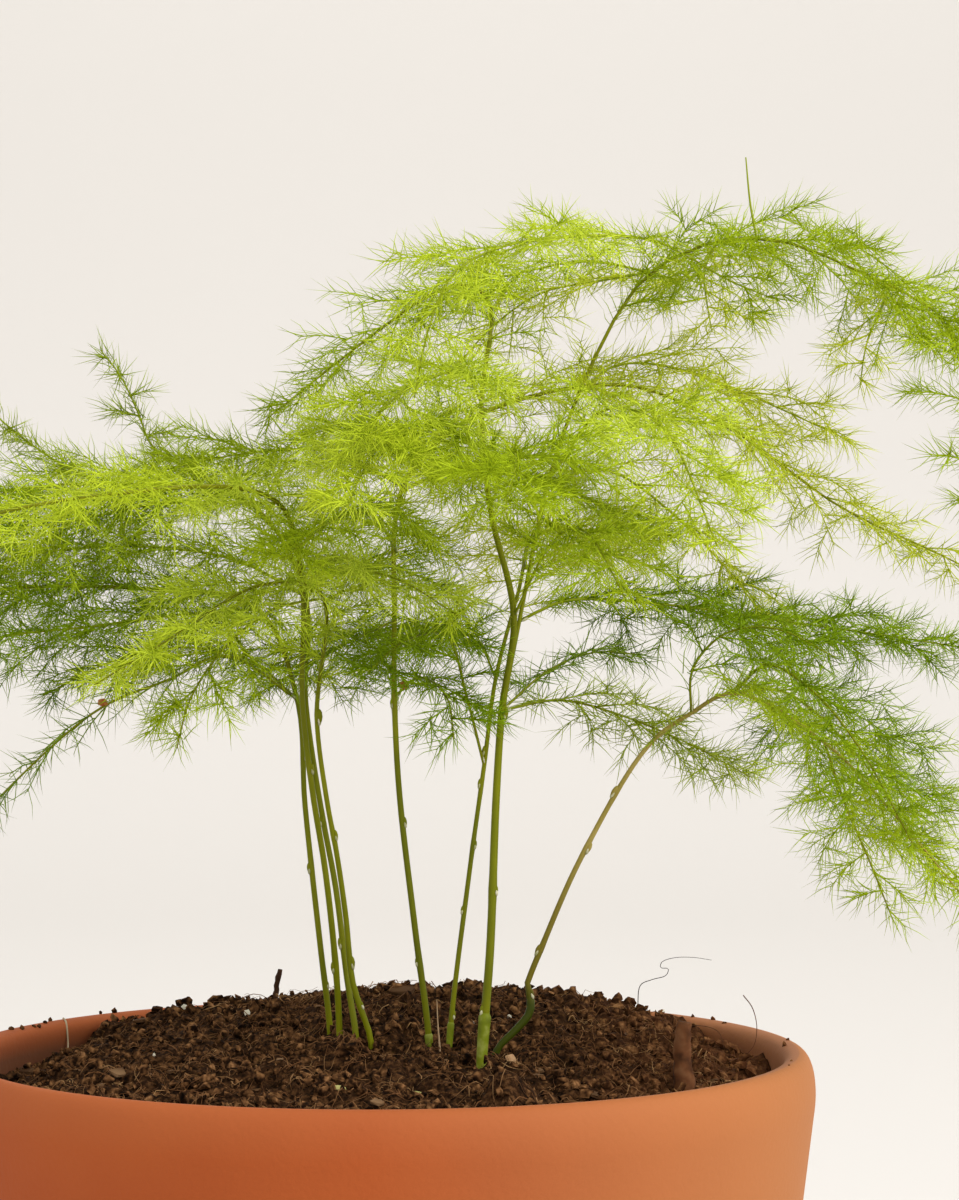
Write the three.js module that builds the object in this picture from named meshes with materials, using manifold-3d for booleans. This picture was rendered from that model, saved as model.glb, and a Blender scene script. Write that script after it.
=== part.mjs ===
// A lace fern, Asparagus setaceus, growing in a round terracotta pot.
//
// Millimetres, +Z up. The origin is the centre of the pot's underside and the front of the plant
// faces -Y. Eight wiry stems rise from the soil and arch over into level plumes. Each stem is one
// solid: its stalk, the side sprays that leave the stalk left and right, and the needles round them.

import * as THREE from "three";
import { mergeVertices } from "three/addons/utils/BufferGeometryUtils.js";
import Module from "manifold-3d";

const wasm = await Module();
wasm.setup();

// Pot
const POT_HEIGHT = 130;
const POT_RADIUS = 75; // at its widest, just under the lip
const POT_WIDEST_BELOW_RIM = 9;
const POT_FOOT_RADIUS = 60;
const POT_FOOT_ROUND = 2;
const POT_WALL = 5.5;
const POT_FLOOR = 7;
const LIP_RADIUS = 72.3; // where the lip is highest
const LIP_INNER_DROP = 3; // from the lip's top to where the straight inner wall starts
const DRAIN_RADIUS = 8;
const POT_SIDES = 36; // the soil's too, so that their flats face each other

// Soil
const GAP = 0.3; // between solids that touch
const SOIL_EDGE_Z = 124.5;
const SOIL_MOUND = 9; // how far its top stands above its edge
const SOIL_MOUND_AT = [12, 27]; // [x, y] of the top
const SOIL_MOUND_SPREAD = 38;
const SOIL_BANK = 2; // how far it is pushed up along the back
const SOIL_LOW_LEFT = 3.5; // how far the left side lies below the edge
const SOIL_LOW_RIGHT = 2.4; // and the right side
const SOIL_SLOPE = 0.7; // the steepest fall from the heap to the rim
const CLOD_HEIGHT = 0.8;
const SOIL_RINGS = 7;
const HOLE_ROOM = 0.7; // round each stem in its hole

// Leafy stems
const STALK_TIP_RADIUS = 0.35;
const BRANCH_RADIUS = 0.5;
const STALK_STEP = 6;
const BRANCH_STEP = 9;
const SPRAY_PITCH = 13.4; // along a stalk, left and right in turn
const SPRAY_ANGLE = THREE.MathUtils.degToRad(54); // from the stalk
const SPRAY_DROOP = 0.14; // of its length
const SPRAY_RISE = 0.35; // up or down at the root, turn by turn
const SPRAY_TILTS = [0, 0.3, -0.3, 0.6, -0.6]; // tried in turn until the spray is clear
const STEEP = 0.8; // a stalk that climbs by more than this share has sprays on all sides
const CORE_RADIUS = 0.45;
const NEEDLE_LENGTH = 7;
const NEEDLE_RADIUS = 0.15;
const NEEDLE_ANGLE = THREE.MathUtils.degToRad(48); // from what it grows on
const NEEDLE_PITCH = 3; // along a spray
const NEEDLES_FROM = 0.1; // share of the spray
const NEEDLES_TO = 0.86;
const STALK_NEEDLES_TO = 0.97; // share of the stalk
const GOLDEN_ANGLE = THREE.MathUtils.degToRad(137.5);
const NEEDLE_OUTLINE = [[0, 0], [NEEDLE_RADIUS, 0], [0, 1]]; // [radius, share of the length]
const CORE_OUTLINE = [[0, 0], [CORE_RADIUS, 0.12], [CORE_RADIUS, 0.85], [0, 1]];
const CLEARANCE = 1.1; // between the middles of two stems' thin parts

const UP = new THREE.Vector3(0, 0, 1);
const LATHE_AXIS = new THREE.Vector3(0, 1, 0);

// The first axis of a stem rises from the soil. The others leave a point of an axis before them.
// bare is the share of the axis without sprays, reach is the length of its longest spray.
const LEAFY_STEMS = [
  {
    name: "leafy_stem_1",
    stalkRadius: 0.6,
    axes: [
      {
        bare: 0.45,
        reach: 20,
        route: [
          [-9, 9, 118], [-9, 9, 131], [-10.7, 9.5, 146], [-12.3, 10, 160], [-13.6, 11, 172],
          [-15, 12, 190], [-22, 12, 206], [-42, 13, 209.5], [-72, 15, 209], [-93, 17, 204], [-108, 19, 196.5],
        ],
      },
      {
        bare: 0.12,
        reach: 13,
        route: [
          [-15, 12, 190], [-27, 2, 198], [-36, -2, 194], [-48, -4, 189], [-64, -5, 175], [-72, -5, 166],
        ],
      },
      {
        bare: 0.1,
        reach: 18,
        route: [[-22, 12, 206], [-35, 4, 205], [-50, -1, 203], [-66, -5, 201], [-84, -8, 195]],
      },
      {
        bare: 0.15,
        reach: 16,
        route: [[-15, 12, 190], [-24, 17, 197], [-36, 21, 199], [-50, 25, 196], [-62, 28, 190]],
      },
    ],
  },
  {
    name: "leafy_stem_2",
    stalkRadius: 0.6,
    axes: [
      {
        bare: 0.42,
        reach: 16,
        route: [
          [-7, 5, 118], [-7.2, 5, 131], [-7.8, 4, 143], [-9.6, 2, 160.7], [-11.6, 0, 173.7],
          [-13.3, -3, 190], [-13, -10, 210], [-17, -28, 224.5], [-43, -50, 224.5], [-73, -64, 217.5],
          [-94, -71, 211], [-110, -75, 202],
        ],
      },
      {
        bare: 0.1,
        reach: 16,
        route: [[-13, -10, 210], [-6, -20, 213], [4, -30, 211], [14, -38, 205]],
      },
    ],
  },
  {
    name: "leafy_stem_3",
    stalkRadius: 0.6,
    axes: [
      {
        bare: 0.46,
        reach: 22,
        route: [
          [-4, 2.5, 118], [-4.2, 2.5, 131], [-5.9, 5, 141.4], [-8, 8, 157], [-10.4, 11, 169],
          [-12.8, 15, 182.8], [-13.9, 19, 191.5], [-14, 23, 208], [-25, 34, 225.2], [-53, 46, 229],
          [-69, 52, 228], [-88, 58, 223.5],
        ],
      },
      {
        bare: 0.2,
        reach: 11,
        route: [
          [-25, 34, 225.2], [-36, 35, 231.5], [-42.5, 34, 235.5], [-45, 33, 241.5], [-48, 31.5, 248],
          [-51.7, 30, 253],
        ],
      },
      {
        bare: 0.1,
        reach: 11,
        route: [[-53, 46, 229], [-61, 44, 233], [-68, 42, 238], [-76, 39, 245]],
      },
      {
        bare: 0.1,
        reach: 20,
        route: [[-25, 34, 225.2], [-40, 29, 225], [-55, 25, 222], [-78, 23, 218], [-98, 22, 211]],
      },
      {
        bare: 0.12,
        reach: 20,
        route: [[-14, 23, 208], [-26, 20, 214.5], [-42, 17, 217], [-60, 14, 216], [-78, 11, 212]],
      },
      {
        bare: 0.15,
        reach: 17,
        route: [[-14, 23, 208], [-8, 30, 213], [-1, 39, 214], [8, 50, 211]],
      },
    ],
  },
  {
    name: "leafy_stem_4",
    stalkRadius: 0.58,
    axes: [
      {
        bare: 0.5,
        reach: 16,
        route: [
          [-1.6, -1, 118], [-1.6, -1, 131.5], [-3.5, -1, 137.4], [-4.8, -1, 142], [-5.9, -1.5, 153],
          [-7.5, -3, 164.5], [-9, -4.5, 173], [-10.6, -8, 187.5], [-9, -18, 208], [-19, -36, 210],
          [-33, -50, 201], [-44, -58, 194],
        ],
      },
      {
        bare: 0.3,
        reach: 15,
        route: [[-9, -18, 208], [-17, -31, 206], [-24, -41, 200], [-29, -47, 192], [-31, -50, 184]],
      },
    ],
  },
  {
    name: "leafy_stem_5",
    stalkRadius: 0.62,
    axes: [
      {
        bare: 0.42,
        reach: 20,
        route: [
          [8.5, -1, 118], [8.5, -1, 131], [6, 0, 151], [3, 1, 178], [2.5, -1, 204], [4, -3, 227],
          [14, -2, 238], [42, 4, 245], [60, 5, 238], [80, 6, 224], [99, 8, 215], [109, 9, 210],
        ],
      },
      {
        bare: 0.08,
        reach: 18,
        route: [[4, -3, 227], [-7, 4, 233], [-16, 8, 234], [-27, 13, 233], [-42, 20, 230]],
      },
      {
        bare: 0.1,
        reach: 17,
        route: [[2.5, -1, 204], [-4, 12, 201], [-12, 27, 197], [-22, 42, 191]],
      },
      {
        bare: 0.1,
        reach: 17,
        route: [[3, -2, 216], [-1, -24, 222], [-6, -38, 221], [-14, -56, 214]],
      },
      {
        bare: 0.1,
        reach: 17,
        route: [[4, -3, 227], [7, -26, 234], [4, -42, 235], [0, -58, 230], [-3, -73, 222]],
      },
      {
        bare: 0.15,
        reach: 13,
        route: [[2.7, 0, 191], [6, -6, 194], [9, -15, 194], [12, -25, 191], [13, -36, 185]],
      },
      {
        bare: 0.1,
        reach: 18,
        route: [[4, -3, 227], [14, 5, 230], [26, 11, 229], [38, 15, 225], [50, 18, 218]],
      },
    ],
  },
  {
    name: "leafy_stem_6",
    stalkRadius: 0.5,
    axes: [
      {
        bare: 0.5,
        reach: 20,
        route: [
          [12, -5, 118], [12, -5, 131], [15.5, -3, 161], [18, -2, 179], [20, 0, 194], [24, 6, 209],
          [27, 30, 219], [38, 62, 219], [43.5, 82, 213.5],
        ],
      },
      {
        bare: 0.25,
        reach: 14,
        route: [[18, -2, 179], [15, -4, 191], [12, -10, 201], [5, -26, 201], [-1, -38, 196]],
      },
      {
        bare: 0.15,
        reach: 14,
        route: [[20, 0, 194], [17, 6, 200], [9, 15, 203], [0, 26, 199]],
      },
    ],
  },
  {
    name: "leafy_stem_7",
    stalkRadius: 0.8,
    axes: [
      {
        // the stalk and its fork that arches to the left
        bare: 0.7,
        reach: 16,
        route: [
          [17.5, -18.5, 118], [17.5, -18.5, 129], [19, -17, 149], [20, -15, 174], [21, -14, 189],
          [23, -17, 205], [19, -19, 223], [17.5, -14, 241], [19, -9, 258], [15.5, -7, 261.5],
          [9, -5.5, 260], [2, -4, 255.5], [-6, -3, 249.5], [-20.5, 0, 238.2],
        ],
      },
      {
        // the fork that arches to the right
        bare: 0.42,
        reach: 22,
        route: [
          [21, -14, 189], [24, -9, 204], [29, -6, 228], [34, -4, 242.5], [38, -3.5, 251.2], [41.7, -3, 258],
          [46.5, -3, 264], [52.2, -3.5, 267.3], [58, -4.5, 269.2], [64.7, -5.5, 269.7], [72.5, -7, 268],
          [80.3, -9, 264.3], [87, -11, 261], [94, -13, 257], [98, -15, 250], [99.5, -18, 238],
          [100, -21, 222],
        ],
      },
      {
        bare: 0.08,
        reach: 15,
        route: [
          [52.2, -3.5, 267.3], [47, -8, 269], [40, -14, 269.2], [31, -22, 268.2], [21, -34, 265.5],
          [13, -45, 260], [9, -55, 250], [7, -61, 239],
        ],
      },
      {
        bare: 0.1,
        reach: 14,
        route: [
          [46.5, -3, 264], [39, 1, 266], [34.8, 3, 266.5], [26, 5, 265], [14, 8, 262], [4, 10, 256],
        ],
      },
      {
        bare: 0.08,
        reach: 20,
        route: [
          [24, -9, 204], [32, -6, 207.5], [52, 0, 206.5], [66, 3, 204.5], [97, 5, 200], [108, 5, 198],
        ],
      },
      {
        bare: 0.12,
        reach: 16,
        route: [[21, -14, 189], [31, -8, 190.5], [41, -5, 188], [54, -3, 182.5], [64, -2, 177]],
      },
      {
        bare: 0.15,
        reach: 9,
        route: [[21, -14, 189], [29, -6, 195.5], [37, 0, 198.5], [46, 4, 198]],
      },
      {
        bare: 0.1,
        reach: 12,
        route: [[52.2, -3.5, 267.3], [56.4, -1, 265], [60.8, 1, 262.8], [65, 2.5, 261.2], [69.5, 3.5, 259.6]],
      },
      {
        bare: 0.1,
        reach: 16,
        route: [[58, -4.5, 269.2], [57, 13, 266], [58, 27, 263], [60, 40, 257]],
      },
      {
        bare: 0.1,
        reach: 9,
        route: [[87, -11, 261], [87, 4, 258], [86, 17, 253], [86, 28, 246]],
      },
      {
        bare: 0.1,
        reach: 16,
        route: [[17.5, -14, 241], [15, -26, 245], [10, -40, 244], [4, -52, 240], [-3, -66, 231]],
      },
      {
        bare: 0.1,
        reach: 16,
        route: [[19, -19, 223], [22, -40, 231], [23, -56, 230], [21, -80, 221]],
      },
      {
        bare: 0.15,
        reach: 15,
        route: [[23, -17, 205], [29, -29, 217], [34, -42, 219], [40, -62, 208]],
      },
      {
        bare: 0.1,
        reach: 17,
        route: [[29, -6, 228], [37, -15, 239], [43, -27, 239], [48, -42, 234], [54, -66, 216]],
      },
      {
        bare: 0.1,
        reach: 18,
        route: [[34, -4, 242.5], [40, 3, 248], [48, 10, 249], [57, 14, 247], [70, 19, 242], [84, 24, 236]],
      },
      {
        bare: 0.1,
        reach: 16,
        route: [[46.5, -3, 264], [38, 9, 263.5], [28, 17, 262], [19, 22, 256], [12, 26, 248]],
      },
      {
        bare: 0.1,
        reach: 18,
        route: [[29, -6, 228], [40, 4, 230], [52, 10, 222], [62, 14, 212], [70, 17, 203]],
      },
      {
        // a thin young tip that stands up from the arch
        bare: 1,
        reach: 0,
        route: [[64.7, -5.5, 269.7], [63.6, -5.8, 275.5], [62.8, -6, 283.5]],
      },
    ],
  },
  {
    name: "leafy_stem_8",
    stalkRadius: 0.58,
    axes: [
      {
        bare: 0.58,
        reach: 20,
        route: [
          [20, -13, 118], [20, -13, 131], [21.3, -13, 132.8], [23.2, -12.7, 134.6], [25.6, -12.2, 137.4],
          [25.9, -12, 139.5], [25.3, -11.8, 142.3], [25.9, -11.5, 144.1], [27.4, -11, 147.7],
          [34.4, -9.5, 163.5], [46, -11, 183], [53, -14, 188.5], [60, -17, 192], [74.5, -25, 184],
          [87, -32, 170.5], [97, -38, 158],
        ],
      },
      {
        bare: 0.12,
        reach: 16,
        route: [[60, -17, 192], [65, -27, 197], [72, -35, 192.5], [79, -43, 183], [86, -51, 169]],
      },
      {
        bare: 0.15,
        reach: 12,
        route: [[74.5, -25, 184], [79, -15, 173], [84, -6, 163], [89, 2, 152]],
      },
      {
        bare: 0.12,
        reach: 18,
        route: [[60, -17, 192], [69, -6, 192], [78, 6, 186], [87, 16, 176.5], [96, 27, 162.5]],
      },
      {
        bare: 0.15,
        reach: 14,
        route: [[53, -14, 188.5], [53, -18, 196], [58, -23, 202], [66, -29, 203], [76, -34, 198]],
      },
    ],
  },
];

const finish = {
  terracotta: new THREE.MeshStandardMaterial({ color: 0xc46a3c, roughness: 0.85, metalness: 0 }),
  soil: new THREE.MeshStandardMaterial({ color: 0x3a261a, roughness: 0.95, metalness: 0 }),
  green: new THREE.MeshStandardMaterial({ color: 0x6f9c26, roughness: 0.55, metalness: 0 }),
  dry: new THREE.MeshStandardMaterial({ color: 0x4e3628, roughness: 0.9, metalness: 0 }),
};

const vector = ([x, y, z]) => new THREE.Vector3(x, y, z);
const turnTo = (direction) => new THREE.Quaternion().setFromUnitVectors(LATHE_AXIS, direction);

// --- Solids and meshes ---

function solidOf(geometry) {
  geometry.deleteAttribute("normal");
  geometry.deleteAttribute("uv");
  const merged = mergeVertices(geometry, 1e-4);
  return new wasm.Manifold(
    new wasm.Mesh({
      numProp: 3,
      vertProperties: merged.attributes.position.array,
      triVerts: new Uint32Array(merged.index.array),
    }),
  );
}

function meshOf(name, solid, material) {
  const { vertProperties, triVerts } = solid.getMesh();
  const geometry = new THREE.BufferGeometry();
  geometry.setAttribute("position", new THREE.BufferAttribute(vertProperties, 3));
  geometry.setIndex(new THREE.BufferAttribute(triVerts, 1));
  geometry.computeVertexNormals();
  const mesh = new THREE.Mesh(geometry, material);
  mesh.name = name;
  return mesh;
}

// The one body that everything has grown into; a scrap that touches nothing is dropped.
function fuse(solids) {
  const bodies = wasm.Manifold.union(solids).simplify(0.02).decompose();
  return bodies.reduce((largest, body) => (body.volume() > largest.volume() ? body : largest));
}

// A rod along a curve: a lathe with one ring a step, each ring set square to the curve.
// It has a flat root and ends in a point.
function rod(curve, steps, sides, radiusAt) {
  const profile = [new THREE.Vector2(0, 0)];
  for (let i = 0; i < steps; i += 1) {
    profile.push(new THREE.Vector2(radiusAt(i / steps), i));
  }
  profile.push(new THREE.Vector2(0, steps));
  const geometry = new THREE.LatheGeometry(profile, sides);
  const frames = curve.computeFrenetFrames(steps);
  const { position } = geometry.attributes;
  for (let i = 0; i < position.count; i += 1) {
    const ring = Math.round(position.getY(i));
    const place = curve.getPointAt(ring / steps);
    place.addScaledVector(frames.binormals[ring], position.getX(i));
    place.addScaledVector(frames.normals[ring], position.getZ(i));
    position.setXYZ(i, place.x, place.y, place.z);
  }
  return solidOf(geometry);
}

// A straight spike from one end of a line to the other: a lathe of [radius, share of the length].
function spike(line, sides, outline) {
  const length = line.getLength();
  const profile = outline.map(([radius, share]) => new THREE.Vector2(radius, share * length));
  const geometry = new THREE.LatheGeometry(profile, sides);
  geometry.applyQuaternion(turnTo(line.getTangent(0)));
  geometry.translate(line.v1.x, line.v1.y, line.v1.z);
  return solidOf(geometry);
}

function cylinder(x, y, bottom, top, radius) {
  const geometry = new THREE.CylinderGeometry(radius, radius, top - bottom, 7);
  geometry.rotateX(Math.PI / 2);
  geometry.translate(x, y, (top + bottom) / 2);
  return solidOf(geometry);
}

// --- Pot and soil ---

const widestZ = POT_HEIGHT - POT_WIDEST_BELOW_RIM;
const flare = (POT_RADIUS - POT_FOOT_RADIUS) / widestZ;
const innerRadius = (z) => POT_FOOT_RADIUS + flare * Math.min(z, widestZ) - POT_WALL;

function pot() {
  const wallTop = POT_HEIGHT - LIP_INNER_DROP;
  const outline = new THREE.Path();
  outline.moveTo(DRAIN_RADIUS, 0);
  outline.lineTo(POT_FOOT_RADIUS - POT_FOOT_ROUND, 0);
  outline.lineTo(POT_FOOT_RADIUS, POT_FOOT_ROUND);
  outline.lineTo(POT_RADIUS, widestZ);
  outline.bezierCurveTo(
    POT_RADIUS + 0.4, widestZ + 4, LIP_RADIUS + 2.4, POT_HEIGHT, LIP_RADIUS, POT_HEIGHT,
  );
  outline.quadraticCurveTo(innerRadius(wallTop), POT_HEIGHT, innerRadius(wallTop), wallTop);
  outline.lineTo(innerRadius(widestZ), widestZ);
  outline.lineTo(innerRadius(POT_FLOOR), POT_FLOOR);
  outline.lineTo(DRAIN_RADIUS, POT_FLOOR);
  outline.lineTo(DRAIN_RADIUS, 0);
  const geometry = new THREE.LatheGeometry(outline.getPoints(3), POT_SIDES);
  geometry.rotateX(Math.PI / 2);
  return solidOf(geometry);
}

// The height of the soil: a mound that is fullest at the back, a bank along the back wall, low sides
// and clods. Where it stands above the rim, it falls away to it.
function soilHeight(x, y) {
  const { smoothstep } = THREE.MathUtils;
  const fromTop = Math.hypot(x - SOIL_MOUND_AT[0], y - SOIL_MOUND_AT[1]) / SOIL_MOUND_SPREAD;
  const mound = SOIL_MOUND * Math.exp(-(fromTop ** 2) / 2);
  const bank = SOIL_BANK * smoothstep(y, 20, 48) * smoothstep(x, -64, -50) * smoothstep(-x, -60, -44);
  const low = SOIL_LOW_LEFT * smoothstep(-x, 48, 66) + SOIL_LOW_RIGHT * smoothstep(x, 38, 66);
  const clods = Math.sin(x * 0.31 + 1.2) * Math.sin(y * 0.27 + 0.4) + 0.6 * Math.sin((x + y) * 0.53);
  const slopeUp = POT_HEIGHT + SOIL_SLOPE * (innerRadius(widestZ) - Math.hypot(x, y));
  return Math.min(SOIL_EDGE_Z + mound + bank - low + CLOD_HEIGHT * clods, slopeUp);
}

function soil() {
  const bottom = POT_FLOOR + GAP;
  const edge = innerRadius(SOIL_EDGE_Z) - GAP;
  const profile = [new THREE.Vector2(0, bottom), new THREE.Vector2(innerRadius(bottom) - GAP, bottom)];
  for (let ring = SOIL_RINGS; ring >= 0; ring -= 1) {
    profile.push(new THREE.Vector2((edge * ring) / SOIL_RINGS, SOIL_EDGE_Z));
  }
  const geometry = new THREE.LatheGeometry(profile, POT_SIDES);
  geometry.rotateX(Math.PI / 2);
  const { position } = geometry.attributes;
  for (let i = 0; i < position.count; i += 1) {
    if (position.getZ(i) > bottom + 1) {
      const height = soilHeight(position.getX(i), position.getY(i));
      const narrowing = (innerRadius(height) - GAP) / edge; // lower soil meets a narrower wall
      const shrink = Math.min(1, narrowing);
      position.setXYZ(i, position.getX(i) * shrink, position.getY(i) * shrink, height);
    }
  }
  return solidOf(geometry);
}

// --- Leafy stems ---

// Cells of a grid that a stem's thin parts pass through, so that no other stem grows there.
const taken = new Map();

function cellsAlong(curve, radius) {
  const points = curve.getSpacedPoints(Math.ceil(curve.getLength() / (0.7 * CLEARANCE)));
  const around = [0, radius, -radius];
  const cells = new Set();
  for (const point of points) {
    for (const dx of around) {
      for (const dy of around) {
        const cell = [point.x + dx, point.y + dy, point.z].map((v) => Math.floor(v / CLEARANCE));
        cells.add(cell.join());
      }
    }
  }
  return cells;
}

function take(curve, radius, owner) {
  for (const cell of cellsAlong(curve, radius)) {
    taken.set(cell, owner);
  }
}

function isFree(curve, owner) {
  for (const cell of cellsAlong(curve, 0)) {
    const [i, j, k] = cell.split(",").map(Number);
    for (let n = 0; n < 27; n += 1) {
      const near = [i + (n % 3) - 1, j + (Math.floor(n / 3) % 3) - 1, k + Math.floor(n / 9) - 1].join();
      if (taken.has(near) && taken.get(near) !== owner) {
        return false;
      }
    }
  }
  return true;
}

// The way a spray leaves its stalk: level, forward and to one side; round a steep stalk by turns.
function sprayDirection(tangent, turn) {
  const roll = turn * GOLDEN_ANGLE;
  if (Math.abs(tangent.z) > STEEP) {
    return new THREE.Vector3(Math.cos(roll), Math.sin(roll), 0.3).normalize();
  }
  const side = new THREE.Vector3().crossVectors(UP, tangent).normalize();
  const hand = turn % 2 === 0 ? 1 : -1;
  const direction = tangent.clone().multiplyScalar(Math.cos(SPRAY_ANGLE));
  direction.addScaledVector(side, hand * Math.sin(SPRAY_ANGLE));
  direction.z += SPRAY_RISE * Math.sin(roll);
  return direction.normalize();
}

function sprayLine(start, direction, length, tilt) {
  const across = new THREE.Vector3().crossVectors(direction, UP).normalize();
  const way = direction.clone().applyAxisAngle(across, tilt);
  const end = start.clone().addScaledVector(way, length).addScaledVector(UP, -SPRAY_DROOP * length);
  return new THREE.LineCurve3(start, end);
}

// Sprays are longest a third of the way along the leafy part and shrink to the tip.
function spraysOn(axis, curve, owner) {
  const leafyLength = curve.getLength() * (1 - axis.bare);
  const count = Math.floor(leafyLength / SPRAY_PITCH);
  const sprays = [];
  for (let turn = 0; turn < count; turn += 1) {
    const share = (turn + 0.5) / count;
    const along = axis.bare + (1 - axis.bare) * share;
    const swell = Math.sin(Math.PI * (0.22 + 0.72 * share));
    const length = axis.reach * swell * (0.86 + 0.28 * ((turn * 0.618) % 1));
    const direction = sprayDirection(curve.getTangentAt(along), turn);
    for (const tilt of SPRAY_TILTS) {
      const spray = sprayLine(curve.getPointAt(along), direction, length, tilt);
      if (isFree(spray, owner)) {
        take(spray, 0, owner);
        sprays.push(spray);
        break;
      }
    }
  }
  return sprays;
}

function needleLine(curve, along, square) {
  const tip = curve.getPointAt(along);
  tip.addScaledVector(curve.getTangentAt(along), NEEDLE_LENGTH * Math.cos(NEEDLE_ANGLE));
  tip.addScaledVector(square, NEEDLE_LENGTH * Math.sin(NEEDLE_ANGLE));
  return new THREE.LineCurve3(curve.getPointAt(along), tip);
}

// Needles stand on all sides of what they grow on, turn by turn, and leave a three-sided core
// through the middles of its faces.
function needlesOn(curve, from, to, count, owner) {
  const needles = [];
  for (let i = 0; i < count; i += 1) {
    const along = from + ((to - from) * (i + 0.5)) / count;
    for (const shift of [0, 1, 2]) {
      const roll = ((2 * (i + shift) + 1) * Math.PI) / 3;
      const square = new THREE.Vector3(Math.sin(roll), 0, Math.cos(roll));
      square.applyQuaternion(turnTo(curve.getTangentAt(along)));
      const line = needleLine(curve, along, square);
      if (isFree(line, owner)) {
        take(line, 0, owner);
        needles.push(spike(line, 3, NEEDLE_OUTLINE));
        break;
      }
    }
  }
  return needles;
}

function growStems() {
  const stems = LEAFY_STEMS.map((stem) => ({ ...stem, solids: [], sprays: [] }));
  for (const stem of stems) {
    for (const axis of stem.axes) {
      axis.curve = new THREE.CatmullRomCurve3(axis.route.map(vector));
      axis.radius = axis === stem.axes[0] ? stem.stalkRadius : BRANCH_RADIUS;
      take(axis.curve, axis.radius, stem.name);
    }
  }
  for (const stem of stems) {
    for (const axis of stem.axes) {
      stem.sprays.push(...spraysOn(axis, axis.curve, stem.name));
    }
  }
  for (const stem of stems) {
    for (const { curve, radius, bare } of stem.axes) {
      const isBranch = radius === BRANCH_RADIUS;
      const steps = Math.round(curve.getLength() / (isBranch ? BRANCH_STEP : STALK_STEP));
      const sides = isBranch ? 3 : 5;
      const taper = (share) => THREE.MathUtils.lerp(radius, STALK_TIP_RADIUS, share);
      const count = Math.floor((curve.getLength() * (1 - bare)) / SPRAY_PITCH);
      stem.solids.push(rod(curve, steps, sides, taper));
      stem.solids.push(...needlesOn(curve, bare, STALK_NEEDLES_TO, count, stem.name));
    }
    for (const spray of stem.sprays) {
      stem.solids.push(spike(spray, 3, CORE_OUTLINE));
      const needled = (NEEDLES_TO - NEEDLES_FROM) * spray.getLength();
      const count = Math.max(2, Math.round(needled / NEEDLE_PITCH));
      stem.solids.push(...needlesOn(spray, NEEDLES_FROM, NEEDLES_TO, count, stem.name));
    }
  }
  return stems;
}

// What is left of two older stems: [x, y, z] from root to tip, with the thickest radius.
const DEAD_STEMS = [
  {
    name: "dead_twig",
    radius: 0.8,
    route: [[-21.8, 56, 118], [-21.8, 56, 127], [-21.5, 56, 131], [-21.1, 56, 134.5], [-20.4, 55.8, 138]],
  },
  {
    name: "dead_stub",
    radius: 1.7,
    route: [[51.5, -22, 116], [51.5, -22, 126], [51, -22, 132], [51.3, -22.5, 137.5]],
  },
];
const DEAD_TAPER = 0.35; // share of the radius lost at the tip

// --- Assembly ---

const plant = new THREE.Group();
let soilBody = soil();

// Adds a stem to the plant, and opens the hole in the soil that the stem stands in.
function plantIn(name, solid, material, [[x, y, z]], radius) {
  soilBody = soilBody.subtract(cylinder(x, y, z - GAP, POT_HEIGHT + 20, radius + HOLE_ROOM));
  plant.add(meshOf(name, solid, material));
}

for (const { name, solids, axes, stalkRadius } of growStems()) {
  plantIn(name, fuse(solids), finish.green, axes[0].route, stalkRadius);
}
for (const { name, radius, route } of DEAD_STEMS) {
  const curve = new THREE.CatmullRomCurve3(route.map(vector));
  const taper = (share) => radius * (1 - DEAD_TAPER * share);
  plantIn(name, rod(curve, 6, 7, taper), finish.dry, route, radius);
}
plant.add(meshOf("pot", pot(), finish.terracotta));
plant.add(meshOf("soil", soilBody, finish.soil));

export default plant;
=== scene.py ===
# %% [markdown]
# # A lace fern in a terracotta pot
#
# We dress a plain solid model of a potted lace fern, *Asparagus setaceus*, in its real surfaces. The
# solid model fixes where everything stands. It has the pot, the soil, eight leafy stems with a few of
# their needles, and two dead stems. We build finer pieces for each of them along the same lines.
#
# The first cell loads the solid model and keeps its box, for the sprays and tufts below to stay inside.

# %% Load the frame
import bisect
import math
import random
from collections import namedtuple

import bmesh
import bpy
from mathutils import Matrix, Quaternion, Vector, noise
from mathutils.geometry import interpolate_bezier


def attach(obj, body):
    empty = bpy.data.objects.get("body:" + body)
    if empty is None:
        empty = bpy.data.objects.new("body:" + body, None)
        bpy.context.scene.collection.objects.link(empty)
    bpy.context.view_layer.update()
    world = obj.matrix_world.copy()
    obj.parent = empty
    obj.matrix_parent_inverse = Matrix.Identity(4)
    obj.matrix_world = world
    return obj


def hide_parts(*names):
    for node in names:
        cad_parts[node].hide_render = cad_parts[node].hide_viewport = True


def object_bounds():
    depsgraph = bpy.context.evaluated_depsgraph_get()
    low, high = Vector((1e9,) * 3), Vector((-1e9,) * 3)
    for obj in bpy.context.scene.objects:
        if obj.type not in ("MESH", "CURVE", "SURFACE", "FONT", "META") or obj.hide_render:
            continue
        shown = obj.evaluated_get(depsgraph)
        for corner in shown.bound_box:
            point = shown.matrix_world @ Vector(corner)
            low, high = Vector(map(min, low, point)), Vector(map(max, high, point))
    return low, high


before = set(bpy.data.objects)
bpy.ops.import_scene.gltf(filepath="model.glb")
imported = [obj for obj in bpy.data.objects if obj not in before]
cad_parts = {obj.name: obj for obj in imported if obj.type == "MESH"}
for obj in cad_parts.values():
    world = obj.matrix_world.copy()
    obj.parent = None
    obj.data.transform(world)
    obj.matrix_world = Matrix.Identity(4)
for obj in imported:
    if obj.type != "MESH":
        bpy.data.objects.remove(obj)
cad_bounds = [list(corner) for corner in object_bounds()]
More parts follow.
